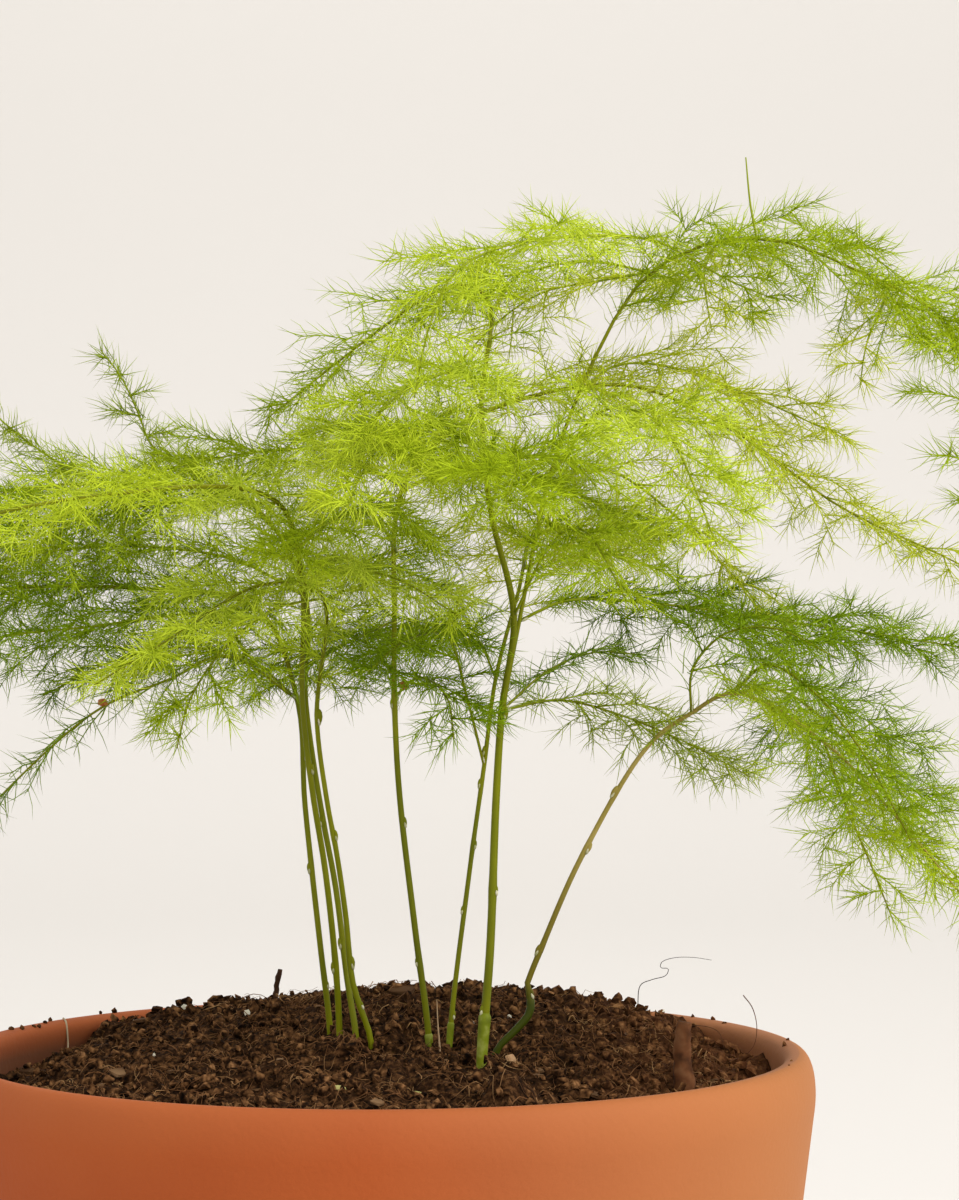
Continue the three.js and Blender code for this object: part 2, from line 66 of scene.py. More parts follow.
print("nodes:", ", ".join(sorted(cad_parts)))
print("box in metres:", cad_bounds)

# %% [markdown]
# ## Working in millimetres
#
# Blender measures in metres, but a needle of this plant is a fifth of a millimetre thick, and such
# sizes are easier to read in millimetres. So every bmesh below is in millimetres, and `add_piece`
# brings it to metres in one place, just before it becomes an object. It names the piece after the
# solid, or node, that it stands for, hides that node and gives the piece its finishes.

# %% Turn a bmesh into a finished piece
MM = 0.001  # metres
UP = Vector((0, 0, 1))
triangles_in_all = 0


def object_of(bm, name):
    """Makes an object of a bmesh, which is used up."""
    mesh = bpy.data.meshes.new(name)
    bm.to_mesh(mesh)
    bm.free()
    made = bpy.data.objects.new(name, mesh)
    bpy.context.scene.collection.objects.link(made)
    return made


def add_piece(node, part, bm, *finishes):
    """Makes a piece of a bmesh in millimetres, to stand for a node of the solid model."""
    global triangles_in_all
    bmesh.ops.scale(bm, vec=(MM, MM, MM), verts=bm.verts)
    piece = object_of(bm, f"{node}_{part}")
    for finish in finishes:
        piece.data.materials.append(finish)
    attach(piece, "root")
    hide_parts(node)
    piece.data.calc_loop_triangles()
    triangles = len(piece.data.loop_triangles)
    triangles_in_all += triangles
    print(f"{piece.name}: {triangles} triangles")


# %% [markdown]
# ## Lines to grow along
#
# Stems, twigs, roots and fibres are all thin rods along a curve. A `Path` is that curve: it runs
# smoothly through a few points, and it can tell the place and the direction at any share of its
# length. It also carries a sideways vector that turns as little as it can, so that a rod along the
# path doesn't twist. The smooth curve is a centripetal Catmull-Rom spline, the one that the solid
# stems were laid along. It passes through its points and doesn't overshoot between them.

# %% A smooth path
TINY = 1e-6  # two points no further apart are the same point


def spline(p0, p1, p2, p3, share):
    """A place between p1 and p2 on the centripetal Catmull-Rom spline through four points."""
    d0, d1, d2 = (max(math.sqrt((b - a).length), TINY) for a, b in ((p0, p1), (p1, p2), (p2, p3)))
    leave = ((p1 - p0) / d0 - (p2 - p0) / (d0 + d1)) * d1 + (p2 - p1)
    arrive = ((p3 - p2) / d2 - (p3 - p1) / (d1 + d2)) * d1 + (p2 - p1)
    square, cube = share**2, share**3
    return (
        p1 * (2 * cube - 3 * square + 1)
        + leave * (cube - 2 * square + share)
        + p2 * (3 * square - 2 * cube)
        + arrive * (cube - square)
    )


class Path:
    """A smooth curve through the points of a route."""

    def __init__(self, route, steps=8):
        knots = [Vector(point) for point in route]
        knots = [2 * knots[0] - knots[1], *knots, 2 * knots[-1] - knots[-2]]
        self.points = [knots[1]]
        for four in zip(knots, knots[1:], knots[2:], knots[3:]):
            self.points += [spline(*four, (i + 1) / steps) for i in range(steps)]
        self.reached = [0.0]
        for a, b in zip(self.points, self.points[1:]):
            self.reached.append(self.reached[-1] + (b - a).length)
        self.length = self.reached[-1]
        self.turn_sideways_vectors()

    def turn_sideways_vectors(self):
        """Finds the direction at each point, and a sideways vector that turns no more than it must."""
        last = len(self.points) - 1
        around = [(self.points[max(i - 1, 0)], self.points[min(i + 1, last)]) for i in range(last + 1)]
        self.directions = [(after - before).normalized() for before, after in around]
        self.sides = [self.directions[0].orthogonal().normalized()]
        for direction in self.directions[1:]:
            side = self.sides[-1] - direction * self.sides[-1].dot(direction)
            self.sides.append(side.normalized())

    def at(self, share):
        """The place, the direction and the sideways vector at a share of the length."""
        length = min(max(share, 0), 1) * self.length
        i = min(max(bisect.bisect_right(self.reached, length) - 1, 0), len(self.points) - 2)
        between = (length - self.reached[i]) / max(self.reached[i + 1] - self.reached[i], 1e-9)
        return (
            self.points[i].lerp(self.points[i + 1], between),
            self.directions[i].lerp(self.directions[i + 1], between).normalized(),
            self.sides[i].lerp(self.sides[i + 1], between).normalized(),
        )


quarter = Path([(0, 0, 0), (4, 0, 3), (5, 0, 8)])
print(f"a test path is {quarter.length:.2f} mm long")

# %% [markdown]
# ## Stamps
#
# The plant has tens of thousands of needles and the soil has thousands of crumbs. Each of them could
# be an object, but that is slow, and the model would be hard to reuse. Instead we model a small shape
# once with bmesh operators, keep it as a stamp, and print it into one larger mesh as often as we
# need. A stamp is printed either rigidly, with a matrix, or bent along a path.

# %% A shape that is printed many times
class Stamp:
    """A small mesh that is copied into a larger one again and again."""

    def __init__(self, bm, smooth=True):
        for face in bm.faces:
            face.smooth = smooth
        self.mesh = bpy.data.meshes.new("stamp")
        bm.to_mesh(self.mesh)
        bm.free()
        self.corners = [vertex.co.copy() for vertex in self.mesh.vertices]
        self.flat = [value for corner in self.corners for value in corner]

    def print_into(self, bm, matrix):
        """Prints the stamp as it is, placed by the matrix."""
        self.mesh.vertices.foreach_set("co", self.flat)
        self.mesh.transform(matrix)
        bm.from_mesh(self.mesh, face_normals=False, vertex_normals=False)

    def print_along(self, bm, path, radius_at, start=0, end=1):
        """Bends the stamp, which stands from 0 to 1 on Z, along the path from start to end."""
        bent = []
        for corner in self.corners:
            place, direction, side = path.at(start + (end - start) * corner.z)
            radius = radius_at(corner.z)
            place = place + side * (corner.x * radius) + direction.cross(side) * (corner.y * radius)
            bent.extend(place)
        self.mesh.vertices.foreach_set("co", bent)
        bm.from_mesh(self.mesh, face_normals=False, vertex_normals=False)


def rod_stamp(rings, sides):
    """A straight rod of radius 1 from Z 0 to 1, cut into rings so that it can bend."""
    bm = bmesh.new()
    middle = Matrix.Translation((0, 0, 0.5))
    bmesh.ops.create_cone(bm, cap_ends=True, segments=sides, radius1=1, radius2=1, depth=1, matrix=middle)
    uprights = [e for e in bm.edges if abs(e.verts[0].co.z - e.verts[1].co.z) > 0.5]
    bmesh.ops.subdivide_edges(bm, edges=uprights, cuts=rings - 1, use_grid_fill=True)
    return Stamp(bm)


stalk_rod = rod_stamp(rings=70, sides=10)
branch_rod = rod_stamp(rings=24, sides=6)
spray_rod = rod_stamp(rings=4, sides=3)
twig_rod = rod_stamp(rings=2, sides=3)
print("a twig stamp has", len(twig_rod.mesh.polygons), "faces")

# %% [markdown]
# ## Finishes
#
# Every finish is one Principled shader. Where its colour varies, a noise texture in object space
# mixes two to four tones of it. Object coordinates are in metres here, so a noise scale of 100 makes
# patches of about a centimetre.

# %% A finish with tones
FIRST_TONE, LAST_TONE = 0.3, 0.7  # the noise values of the first tone and of the last


def noise_in(finish, scale, detail):
    """Noise in object space, as an output that other nodes can be linked to."""
    nodes, links = finish.node_tree.nodes, finish.node_tree.links
    coordinates = nodes.new("ShaderNodeTexCoord")
    patches = nodes.new("ShaderNodeTexNoise")
    patches.inputs["Scale"].default_value = scale
    patches.inputs["Detail"].default_value = detail
    links.new(coordinates.outputs["Object"], patches.inputs["Vector"])
    return patches.outputs["Fac"]


def finish_of(name, tones, scale, roughness, shine=0.5, detail=3):
    """A material whose colour wanders between the given tones in patches."""
    finish = bpy.data.materials.new(name)
    finish.use_nodes = True
    nodes, links = finish.node_tree.nodes, finish.node_tree.links
    shader = nodes["Principled BSDF"]
    shader.inputs["Roughness"].default_value = roughness
    shader.inputs["Specular IOR Level"].default_value = shine
    ramp = nodes.new("ShaderNodeValToRGB")
    stops = ramp.color_ramp.elements
    while len(stops) < len(tones):
        stops.new(0.5)
    for i, tone in enumerate(tones):
        stops[i].position = FIRST_TONE + (LAST_TONE - FIRST_TONE) * i / max(len(tones) - 1, 1)
        stops[i].color = (*tone, 1)
    links.new(noise_in(finish, scale, detail), ramp.inputs["Fac"])
    links.new(ramp.outputs["Color"], shader.inputs["Base Color"])
    return finish


def roughen(finish, scale, height, detail=4):
    """Adds a fine relief to a finish, with a height in metres."""
    nodes, links = finish.node_tree.nodes, finish.node_tree.links
    bump = nodes.new("ShaderNodeBump")
    bump.inputs["Distance"].default_value = height
    links.new(noise_in(finish, scale, detail), bump.inputs["Height"])
    links.new(bump.outputs["Normal"], nodes["Principled BSDF"].inputs["Normal"])
    return finish


def fade(finish, tone, axis, start, end):
    """Fades the colour into another tone along X, Y or Z: plain at start, all tone at end."""
    nodes, links = finish.node_tree.nodes, finish.node_tree.links
    base = nodes["Principled BSDF"].inputs["Base Color"]
    coordinates = nodes.new("ShaderNodeTexCoord")
    split = nodes.new("ShaderNodeSeparateXYZ")
    span = nodes.new("ShaderNodeMapRange")
    span.inputs["From Min"].default_value = start
    span.inputs["From Max"].default_value = end
    mix = nodes.new("ShaderNodeMixRGB")
    mix.inputs["Color2"].default_value = (*tone, 1)
    links.new(coordinates.outputs["Object"], split.inputs["Vector"])
    links.new(split.outputs[axis], span.inputs["Value"])
    links.new(span.outputs["Result"], mix.inputs["Fac"])
    links.new(base.links[0].from_socket, mix.inputs["Color1"])
    links.new(mix.outputs["Color"], base)
    return finish


# %% [markdown]
# ## The pot
#
# The pot is thrown clay: a round wall that widens upwards, with a soft lip that is fullest just
# under the rim. A thrown pot is a profile turned round an axis, so we draw half a section and spin
# it. The lip and the edge of the foot are Bezier curves, and everything else is straight. The clay has
# no glaze. The top of its lip carries a painted highlight, and its right side is paler, partly from salt
# bloom and partly from painted light. Inside, above the filling, the wall is darker towards the bottom
# and has painted light on its right side, and these faces get a finish of their own.

# %% Turn the pot
POT_HEIGHT = 130
POT_RADIUS = 75  # at its widest, just under the lip
WIDEST_Z = POT_HEIGHT - 9
FOOT_RADIUS = 60
FOOT_ROUND = 2
WALL = 5.5
FLOOR = 7
LIP_RADIUS = 72.3  # where the lip is highest
LIP_BULGE = 0.4  # of the handles, past the wall
LIP_TOP_REACH = 2.4
INNER_LIP_REACH = 0.7
INNER_WALL_TOP = POT_HEIGHT - 3
DRAIN_RADIUS = 8
POT_STEPS = 192
INNER_FINISH_Z = 118  # the inner wall has a finish of its own above this height, under it the soil hides it


def inner_radius(z):
    """How far the inner wall stands from the pot's axis."""
    return FOOT_RADIUS + (POT_RADIUS - FOOT_RADIUS) / WIDEST_Z * min(z, WIDEST_Z) - WALL


def bend(start, handle_1, handle_2, end, points=10):
    """Points on a Bezier curve in the plane of the section, [radius, height]."""
    curve = [Vector((radius, 0, z)) for radius, z in (start, handle_1, handle_2, end)]
    return [(place.x, place.z) for place in interpolate_bezier(*curve, points)]


def pot_section():
    """The pot's section, from the drain hole out, up the wall, over the lip and down inside."""
    inner = inner_radius(INNER_WALL_TOP)
    outer_lip = bend(
        (POT_RADIUS, WIDEST_Z), (POT_RADIUS + LIP_BULGE, WIDEST_Z + 4),
        (LIP_RADIUS + LIP_TOP_REACH, POT_HEIGHT), (LIP_RADIUS, POT_HEIGHT), points=14,
    )
    inner_lip = bend(
        (LIP_RADIUS, POT_HEIGHT), (inner + INNER_LIP_REACH, POT_HEIGHT),
        (inner, POT_HEIGHT - 1), (inner, INNER_WALL_TOP),
    )
    foot = bend(
        (FOOT_RADIUS - FOOT_ROUND, 0), (FOOT_RADIUS - 0.8, 0), (FOOT_RADIUS, 0.8), (FOOT_RADIUS, FOOT_ROUND),
        points=6,
    )
    inside = [(inner_radius(z), z) for z in (WIDEST_Z, INNER_FINISH_Z, FLOOR + 4)]
    bottom = [(inner_radius(FLOOR) - 3, FLOOR), (DRAIN_RADIUS, FLOOR)]
    return [(DRAIN_RADIUS, 0), *foot, *outer_lip, *inner_lip[1:], *inside, *bottom]


def turned(section, steps):
    """Spins a section, [radius, height], round the Z axis. It is closed unless it starts on the axis."""
    bm = bmesh.new()
    corners = [bm.verts.new((radius, 0, z)) for radius, z in section]
    for pair in zip(corners, corners[1:]):
        bm.edges.new(pair)
    if section[0][0] > 0:
        bm.edges.new((corners[-1], corners[0]))
    bmesh.ops.spin(
        bm, geom=[*bm.verts, *bm.edges], axis=UP, cent=(0, 0, 0), angle=math.tau, steps=steps,
        use_merge=True,
    )
    bmesh.ops.recalc_face_normals(bm, faces=bm.faces)
    for face in bm.faces:
        face.smooth = True
    return bm


# %% Fire the pot
CLAY = [(0.315, 0.056, 0.0095), (0.378, 0.0745, 0.0133), (0.43, 0.097, 0.019)]
# the inner wall is darker towards the bottom
INNER_WALL_LOW_TONE = (0.15, 0.05, 0.02)
# painted light for the right side of the inner wall, which the lamp leaves in shade
INNER_PAINTED_FILL_LIGHT = (0.36, 0.14, 0.058)
# painted highlight on the top of the lip, where the light falls
LIP_PAINTED_HIGHLIGHT = (0.42, 0.12, 0.036)
# partly salt bloom, partly painted light on the right side, which faces the lamp
BLOOM_AND_PAINTED_LIGHT = (0.425, 0.17, 0.055)


def terracotta(name):
    """Unglazed clay: warm orange in soft patches, with a painted highlight on top of its lip, and a right
    side made paler partly by salt bloom and partly by painted light.
    """
    clay = finish_of(name, CLAY, 14, 0.75, 0.25)
    # painted highlight on the top of the lip
    fade(clay, LIP_PAINTED_HIGHLIGHT, "Z", 0.122, 0.138)
    # paler towards the right: partly salt bloom, partly painted light
    fade(clay, BLOOM_AND_PAINTED_LIGHT, "X", 0.0, 0.085)
    return roughen(clay, 900, 0.0001)


clay = terracotta("terracotta")
inner_clay = fade(terracotta("terracotta_stained"), INNER_WALL_LOW_TONE, "Z", 0.1293, 0.1252)  # darker towards the bottom
# painted light: the right side of the inner wall is made lighter
fade(inner_clay, INNER_PAINTED_FILL_LIGHT, "X", 0.03, 0.07)
wall = turned(pot_section(), POT_STEPS)
for face in wall.faces:
    middle = face.calc_center_median()
    looks_inside = face.normal.dot(Vector((middle.x, middle.y, 0))) < 0
    face.material_index = 1 if looks_inside and middle.z > INNER_FINISH_Z else 0
add_piece("pot", "thrown", wall, clay, inner_clay)

# %% [markdown]
# ## The soil
#
# The potting soil is dark peat, heaped a little over the rim at the back and low at both sides. The
# body under it is a plain filling, turned like the pot and then pushed up and down by the same formula
# that shaped the solid soil, with a finer noise on top. On it lie crumbs, wood fibres, chips and a few
# grains of perlite.

# %% The ground
SOIL_EDGE_Z = 124.5
SOIL_MOUND = 9
SOIL_MOUND_AT = Vector((12, 27))
SOIL_MOUND_SPREAD = 38
SOIL_BANK = 2  # along the back wall
SOIL_LOW_LEFT = 3.5
SOIL_LOW_RIGHT = 2.4
SOIL_SLOPE = 0.7  # the steepest fall from the heap to the rim
SOIL_RINGS = 100
SOIL_STEPS = 300
SOIL_BOTTOM = FLOOR + 0.3
CLOD_AT = Vector((22, -39))  # a round clod before the stems
CLOD_RADIUS = 4.2
CLOD_HEIGHT = 3.6
SWELL = 0.8  # the height of the broad waves in the soil
WAVE_X, WAVE_Y, WAVE_ACROSS = (0.31, 1.2), (0.27, 0.4), (0.53, 0.6)  # [per mm, shift, or height across]
LUMPS = [(0.16, 1.6), (0.42, 1.3), (1.1, 0.7)]  # [per mm, height]
BANK_RISES, BANK_LEFT, BANK_RIGHT = (20, 48), (-64, -50), (-60, -44)
LEFT_FALLS, RIGHT_FALLS = (48, 66), (38, 66)
SURFACE_NOISE_LAYER = 3


def smoothstep(value, low, high):
    """0 up to low, 1 from high on, and a soft slope between them."""
    share = min(max((value - low) / (high - low), 0), 1)
    return share * share * (3 - 2 * share)


def ground(x, y):
    """The height of the soil, with clods and fine lumps."""
    place = Vector((x, y))
    mound = SOIL_MOUND * math.exp(-(((place - SOIL_MOUND_AT).length / SOIL_MOUND_SPREAD) ** 2) / 2)
    bank = SOIL_BANK * smoothstep(y, *BANK_RISES) * smoothstep(x, *BANK_LEFT) * smoothstep(-x, *BANK_RIGHT)
    low_sides = SOIL_LOW_LEFT * smoothstep(-x, *LEFT_FALLS) + SOIL_LOW_RIGHT * smoothstep(x, *RIGHT_FALLS)
    waves = math.sin(x * WAVE_X[0] + WAVE_X[1]) * math.sin(y * WAVE_Y[0] + WAVE_Y[1])
    waves += WAVE_ACROSS[1] * math.sin((x + y) * WAVE_ACROSS[0])
    layer = Vector((x, y, SURFACE_NOISE_LAYER))
    lumps = sum(height * noise.noise(layer * scale) for scale, height in LUMPS)
    clod = CLOD_HEIGHT * math.exp(-(((place - CLOD_AT).length / CLOD_RADIUS) ** 4))
    slope_up = POT_HEIGHT + SOIL_SLOPE * (inner_radius(WIDEST_Z) - place.length)
    return min(SOIL_EDGE_Z + mound + bank - low_sides + SWELL * waves + lumps + clod, slope_up)


def filling():
    """The body of soil, from the pot's floor to the ground, just clear of the wall."""
    edge = inner_radius(SOIL_EDGE_Z)
    section = [(0, SOIL_BOTTOM), (inner_radius(SOIL_BOTTOM) - 4, SOIL_BOTTOM)]
    section += [(inner_radius(SOIL_BOTTOM + 4) - 0.2, SOIL_BOTTOM + 4)]
    section += [(edge * ring / SOIL_RINGS, SOIL_EDGE_Z) for ring in range(SOIL_RINGS, -1, -1)]
    bm = turned(section, SOIL_STEPS)
    bmesh.ops.remove_doubles(bm, verts=bm.verts, dist=0.001)
    for vertex in bm.verts:
        if vertex.co.z > SOIL_EDGE_Z - 1:
            height = ground(vertex.co.x, vertex.co.y)
            narrowing = (inner_radius(height) - 0.1) / edge
            vertex.co = (vertex.co.x * narrowing, vertex.co.y * narrowing, height)
    return bm


PEAT = [(0.005, 0.0025, 0.0013), (0.036, 0.0155, 0.0065), (0.13, 0.06, 0.024)]
# painted light: the soil is lighter and warmer towards the right, where the lamp is
PEAT_PAINTED_LIGHT = (0.16, 0.054, 0.019)
peat = roughen(finish_of("peat", PEAT, 900, 0.95, 0.05, 6), 1300, 0.0009, 6)
# painted light, lighter towards the right
fade(peat, PEAT_PAINTED_LIGHT, "X", 0.03, 0.13)
add_piece("soil", "body", filling(), peat)

# %% [markdown]
# ### Crumbs, fibres and grains
#
# Peat falls into crumbs from half a millimetre to three millimetres across. One crumb is a small
# icosphere with its corners pushed in and out. A dozen such stamps, turned and stretched at random,
# are enough for the eye. They are flat shaded, because broken peat has edges. The random numbers come
# from seeded generators, so the soil is the same each time.

# %% Scatter the crumbs
CRUMBS = 8600
CRUMB_SHAPES = 12
SMALLEST_CRUMB, LARGEST_CRUMB = 0.22, 1.35  # radius
CRUMB_RAGGED = (0.5, 1.4)  # how far its corners are pushed in and out
CRUMB_SINK = 0.35  # how high its middle lies, as a share of its radius


def crumb_stamp(rng):
    bm = bmesh.new()
    bmesh.ops.create_icosphere(bm, subdivisions=1, radius=1)
    for vertex in bm.verts:
        vertex.co *= rng.uniform(*CRUMB_RAGGED)
    return Stamp(bm, smooth=False)


def spot_on_soil(rng, margin):
    """A random place on the soil, as likely at the edge as in the middle."""
    angle = rng.uniform(0, math.tau)
    radius = (inner_radius(SOIL_EDGE_Z) - margin) * math.sqrt(rng.random())
    return radius * math.cos(angle), radius * math.sin(angle)


def random_turn(rng):
    return Quaternion([rng.gauss(0, 1) for _ in range(4)]).normalized()


def scatter(stamps, count, smallest, largest, sink, rng):
    """Prints stamps all over the soil. Small ones are far more common than large ones."""
    bm = bmesh.new()
    for _ in range(count):
        size = smallest + (largest - smallest) * rng.random() ** 4
        x, y = spot_on_soil(rng, margin=0.5 + size * 1.3)
        stretch = Vector((size * rng.uniform(0.7, 1.3), size, size * rng.uniform(0.6, 0.95)))
        place = Vector((x, y, ground(x, y) + size * sink))
        rng.choice(stamps).print_into(bm, Matrix.LocRotScale(place, random_turn(rng), stretch))
    return bm


soil_rng = random.Random(11)
crumb_stamps = [crumb_stamp(soil_rng) for _ in range(CRUMB_SHAPES)]
crumbs = scatter(crumb_stamps, CRUMBS, SMALLEST_CRUMB, LARGEST_CRUMB, CRUMB_SINK, soil_rng)
CRUMBLED = [(0.004, 0.002, 0.0012), (0.028, 0.012, 0.005), PEAT[2], (0.3, 0.15, 0.062)]
# the crumbs get the same painted light towards the right
crumb_peat = fade(finish_of("crumbled_peat", CRUMBLED, 700, 0.95, 0.05), PEAT_PAINTED_LIGHT, "X", 0.03, 0.13)
add_piece("soil", "crumbs", crumbs, crumb_peat)

# %% Lay the fibres
FIBRES = 1400
FIBRE_POINTS = 5
FIBRE_STRIDE = (0.5, 2.2)
FIBRE_LIFT = (0.1, 1.3)
FIBRE_WANDER = 0.9  # how much it turns at a point, in radians
FIBRE_RADII = (0.05, 0.07, 0.09, 0.12)


def fibre_route(rng):
    """A few points over the soil, wandering and lifting a little."""
    x, y = spot_on_soil(rng, margin=6)
    heading = rng.uniform(0, math.tau)
    stride = rng.uniform(*FIBRE_STRIDE)
    route = []
    for _ in range(FIBRE_POINTS):
        route.append((x, y, ground(x, y) + rng.uniform(*FIBRE_LIFT)))
        heading += rng.uniform(-FIBRE_WANDER, FIBRE_WANDER)
        x += stride * math.cos(heading)
        y += stride * math.sin(heading)
    inside = inner_radius(SOIL_EDGE_Z) - 2
    return [point for point in route if math.hypot(point[0], point[1]) < inside]


def lay_fibres(count, rng):
    """Thin rods all over the soil. One that has too few points inside the pot is left out."""
    bm = bmesh.new()
    fibre_rod = rod_stamp(rings=6, sides=3)
    for _ in range(count):
        route = fibre_route(rng)
        if len(route) > 2:
            thick = rng.choice(FIBRE_RADII)
            fibre_rod.print_along(bm, Path(route, steps=4), lambda share: thick * (1.1 - share * 0.8))
    return bm


FIBRE = [(0.06, 0.022, 0.008), (0.2, 0.09, 0.035), (0.46, 0.27, 0.12)]
pale_fibre = finish_of("wood_fibre", FIBRE, 110, 0.8, 0.1)
add_piece("soil", "fibres", lay_fibres(FIBRES, soil_rng), pale_fibre)

# %% Drop the bark chips and the perlite
CHIPS = 90
CHIP_SHAPES = 4
CHIP_TILT = math.radians(22)
CHIP_BEVEL = 0.25
PERLITE_GRAINS = 22
PALE_CHIP = Vector((22.6, -14.6))


def chip_stamp(rng):
    """A flat splinter of bark: a bevelled cube, stretched and flattened, with its corners knocked about."""
    bm = bmesh.new()
    bmesh.ops.create_cube(bm, size=2)
    bmesh.ops.bevel(
        bm, geom=bm.edges[:], offset=CHIP_BEVEL, affect="EDGES", segments=1, profile=0.5, material=-1,
    )
    for vertex in bm.verts:
        vertex.co.x *= 1.6 + 0.2 * rng.random()
        vertex.co.z *= 0.3
        vertex.co *= rng.uniform(0.85, 1.1)
    return Stamp(bm, smooth=False)


def lay(stamp, bm, x, y, size, heading, tilt, sink=0.25):
    """Lays a flat stamp on the soil."""
    turn = Quaternion((0, 0, 1), heading) @ Quaternion((1, 0, 0), tilt)
    place = Vector((x, y, ground(x, y) + size * sink))
    stamp.print_into(bm, Matrix.LocRotScale(place, turn, Vector((size, size, size))))


chip_stamps = [chip_stamp(soil_rng) for _ in range(CHIP_SHAPES)]
chips, pale_chip = bmesh.new(), bmesh.new()
for _ in range(CHIPS):
    x, y = spot_on_soil(soil_rng, margin=3)
    size = 0.4 + soil_rng.random() ** 3
    tilt = soil_rng.uniform(-CHIP_TILT, CHIP_TILT)
    lay(soil_rng.choice(chip_stamps), chips, x, y, size, soil_rng.uniform(0, math.tau), tilt)
bark = finish_of("bark", [(0.05, 0.022, 0.009), (0.11, 0.055, 0.024), (0.24, 0.14, 0.07)], 90, 0.85, 0.1)
add_piece("soil", "bark_chips", chips, bark)
lay(chip_stamps[0], pale_chip, *PALE_CHIP, size=0.9, heading=1.2, tilt=1.1, sink=1)
tan = finish_of("tan_wood", [(0.36, 0.2, 0.1), (0.5, 0.31, 0.17)], 900, 0.8, 0.1)
add_piece("soil", "pale_chip", pale_chip, tan)

grains = scatter(crumb_stamps, PERLITE_GRAINS, smallest=0.25, largest=0.7, sink=0.6, rng=soil_rng)
perlite = finish_of("perlite", [(0.6, 0.55, 0.42), (0.75, 0.72, 0.62)], 200, 0.7)
add_piece("soil", "perlite", grains, perlite)


# %% Drop two seeds
def ball_stamp():
    """A ball of radius 1."""
    bm = bmesh.new()
    bmesh.ops.create_icosphere(bm, subdivisions=2, radius=1)
    return Stamp(bm)


SEEDS = [(-6, -35, 1.5), (6.8, -35, 1.3)]  # [x, y, length from the middle]
SEED_RISE, SEED_WIDTH, SEED_HEIGHT = 0.6, 0.8, 0.7
ball = ball_stamp()
seeds = bmesh.new()
for x, y, length in SEEDS:
    place = Vector((x, y, ground(x, y) + SEED_RISE))
    ball.print_into(seeds, Matrix.LocRotScale(place, None, Vector((length, SEED_WIDTH, SEED_HEIGHT))))
husk = finish_of("seed_husk", [(0.32, 0.3, 0.09), (0.48, 0.45, 0.17)], 300, 0.6, 0.2)
add_piece("soil", "seeds", seeds, husk)

# %% [markdown]
# ### Crumbs on the rim
#
# Potting is messy work, so a few crumbs were left behind on the lip of the pot.

# %% Leave crumbs on the rim
RIM_CRUMBS = 26
RIM_ARC = (-20, 200)  # degrees: all but the front
LIP_CURVE = 0.12  # how fast the lip falls away from its top
rim_crumbs = bmesh.new()
for _ in range(RIM_CRUMBS):
    angle = math.radians(soil_rng.uniform(*RIM_ARC))
    away = LIP_RADIUS + soil_rng.uniform(-2, 0.6)
    size = soil_rng.uniform(0.2, 0.65)
    top = POT_HEIGHT - LIP_CURVE * (away - LIP_RADIUS) ** 2 + 0.3 * size
    place = Vector((away * math.cos(angle), away * math.sin(angle), top))
    shape = Matrix.LocRotScale(place, random_turn(soil_rng), Vector((size, size, size)))
    soil_rng.choice(crumb_stamps).print_into(rim_crumbs, shape)
add_piece("soil", "rim_crumbs", rim_crumbs, crumb_peat)

# %% [markdown]
# ### Loose hairs and roots
#
# A few dry hairs stick out of the soil: a wiry dark one with kinks that leans over to the right, a
# reddish one beside the rim, a loop before it, a straw between the stems, and a pale root that hangs
# over the left rim and down the inner wall. Each has a radius and a route.

# %% Hairs, roots and a straw
HAIRS = {
    "dark": (0.1, [
        (46.4, 40, 129), (46.4, 40, 132.7), (46.9, 40, 136.4), (49, 40, 137.4), (51.6, 40, 138.2),
        (52, 40, 139.4), (50.6, 40, 139.6), (50.8, 40, 140.6), (53, 40, 141.4), (56.5, 40, 141.5),
        (60, 40, 141),
    ]),
    "reddish": (0.1, [(63.6, 10, 138), (65.2, 10, 135.8), (66, 10, 132.3), (65.4, 10, 129), (63, 10, 126.5)]),
    "loop": (0.08, [(50, 20, 127), (52.5, 20, 130.6), (56.5, 20, 131.4), (60, 20, 130.2), (61, 20, 127)]),
    "straw": (0.2, [(10.5, -8, 128), (10.4, -8, 131), (10.1, -8.2, 135), (9.9, -8, 139.3)]),
    "pale": (0.2, [
        (-59.6, 40.4, 130.2), (-59, 39, 129.8), (-58.6, 37.6, 128.6), (-58.3, 36.5, 126),
        (-58.1, 34.5, 124.3), (-57.3, 28, 123.8), (-55.8, 21, 123.8), (-54.6, 17.2, 123.2),
    ]),
}
HAIR_TONES = {
    "dark": [(0.012, 0.007, 0.006), (0.03, 0.017, 0.013)],
    "reddish": [(0.09, 0.03, 0.012), (0.16, 0.06, 0.025)],
    "loop": [(0.05, 0.022, 0.012), (0.1, 0.045, 0.02)],
    "straw": [(0.42, 0.27, 0.15), (0.55, 0.38, 0.22)],
    "pale": [(0.38, 0.28, 0.17), (0.55, 0.44, 0.3)],
}
HAIR_TAPER = 0.6
hair_rod = rod_stamp(rings=60, sides=5)
for hair, (thick, route) in HAIRS.items():
    strand = bmesh.new()
    hair_rod.print_along(strand, Path(route), lambda share: thick * (1 - HAIR_TAPER * share))
    tone = finish_of(f"{hair}_hair", HAIR_TONES[hair], 300, 0.7, 0.2)
    add_piece("soil", f"hair_{hair}", strand, tone)

# %% [markdown]
# ## Where the stems grow
#
# A lace fern sends up thin wiry stems one by one. Each climbs almost straight, then arches over and
# spreads side branches in level layers. The points below are those of the solid stems. The first axis
# of a stem comes out of the soil, and the others leave it higher up. `bare` is the share of an axis
# without foliage, and `reach` the length of its longest spray. `green` names the tone of its needles,
# and `fullness` says how close they stand. A joint is a knot of the stalk: its height, the side that
# its bud is on, and its size. The table is long, because no two stems of a plant grow alike.

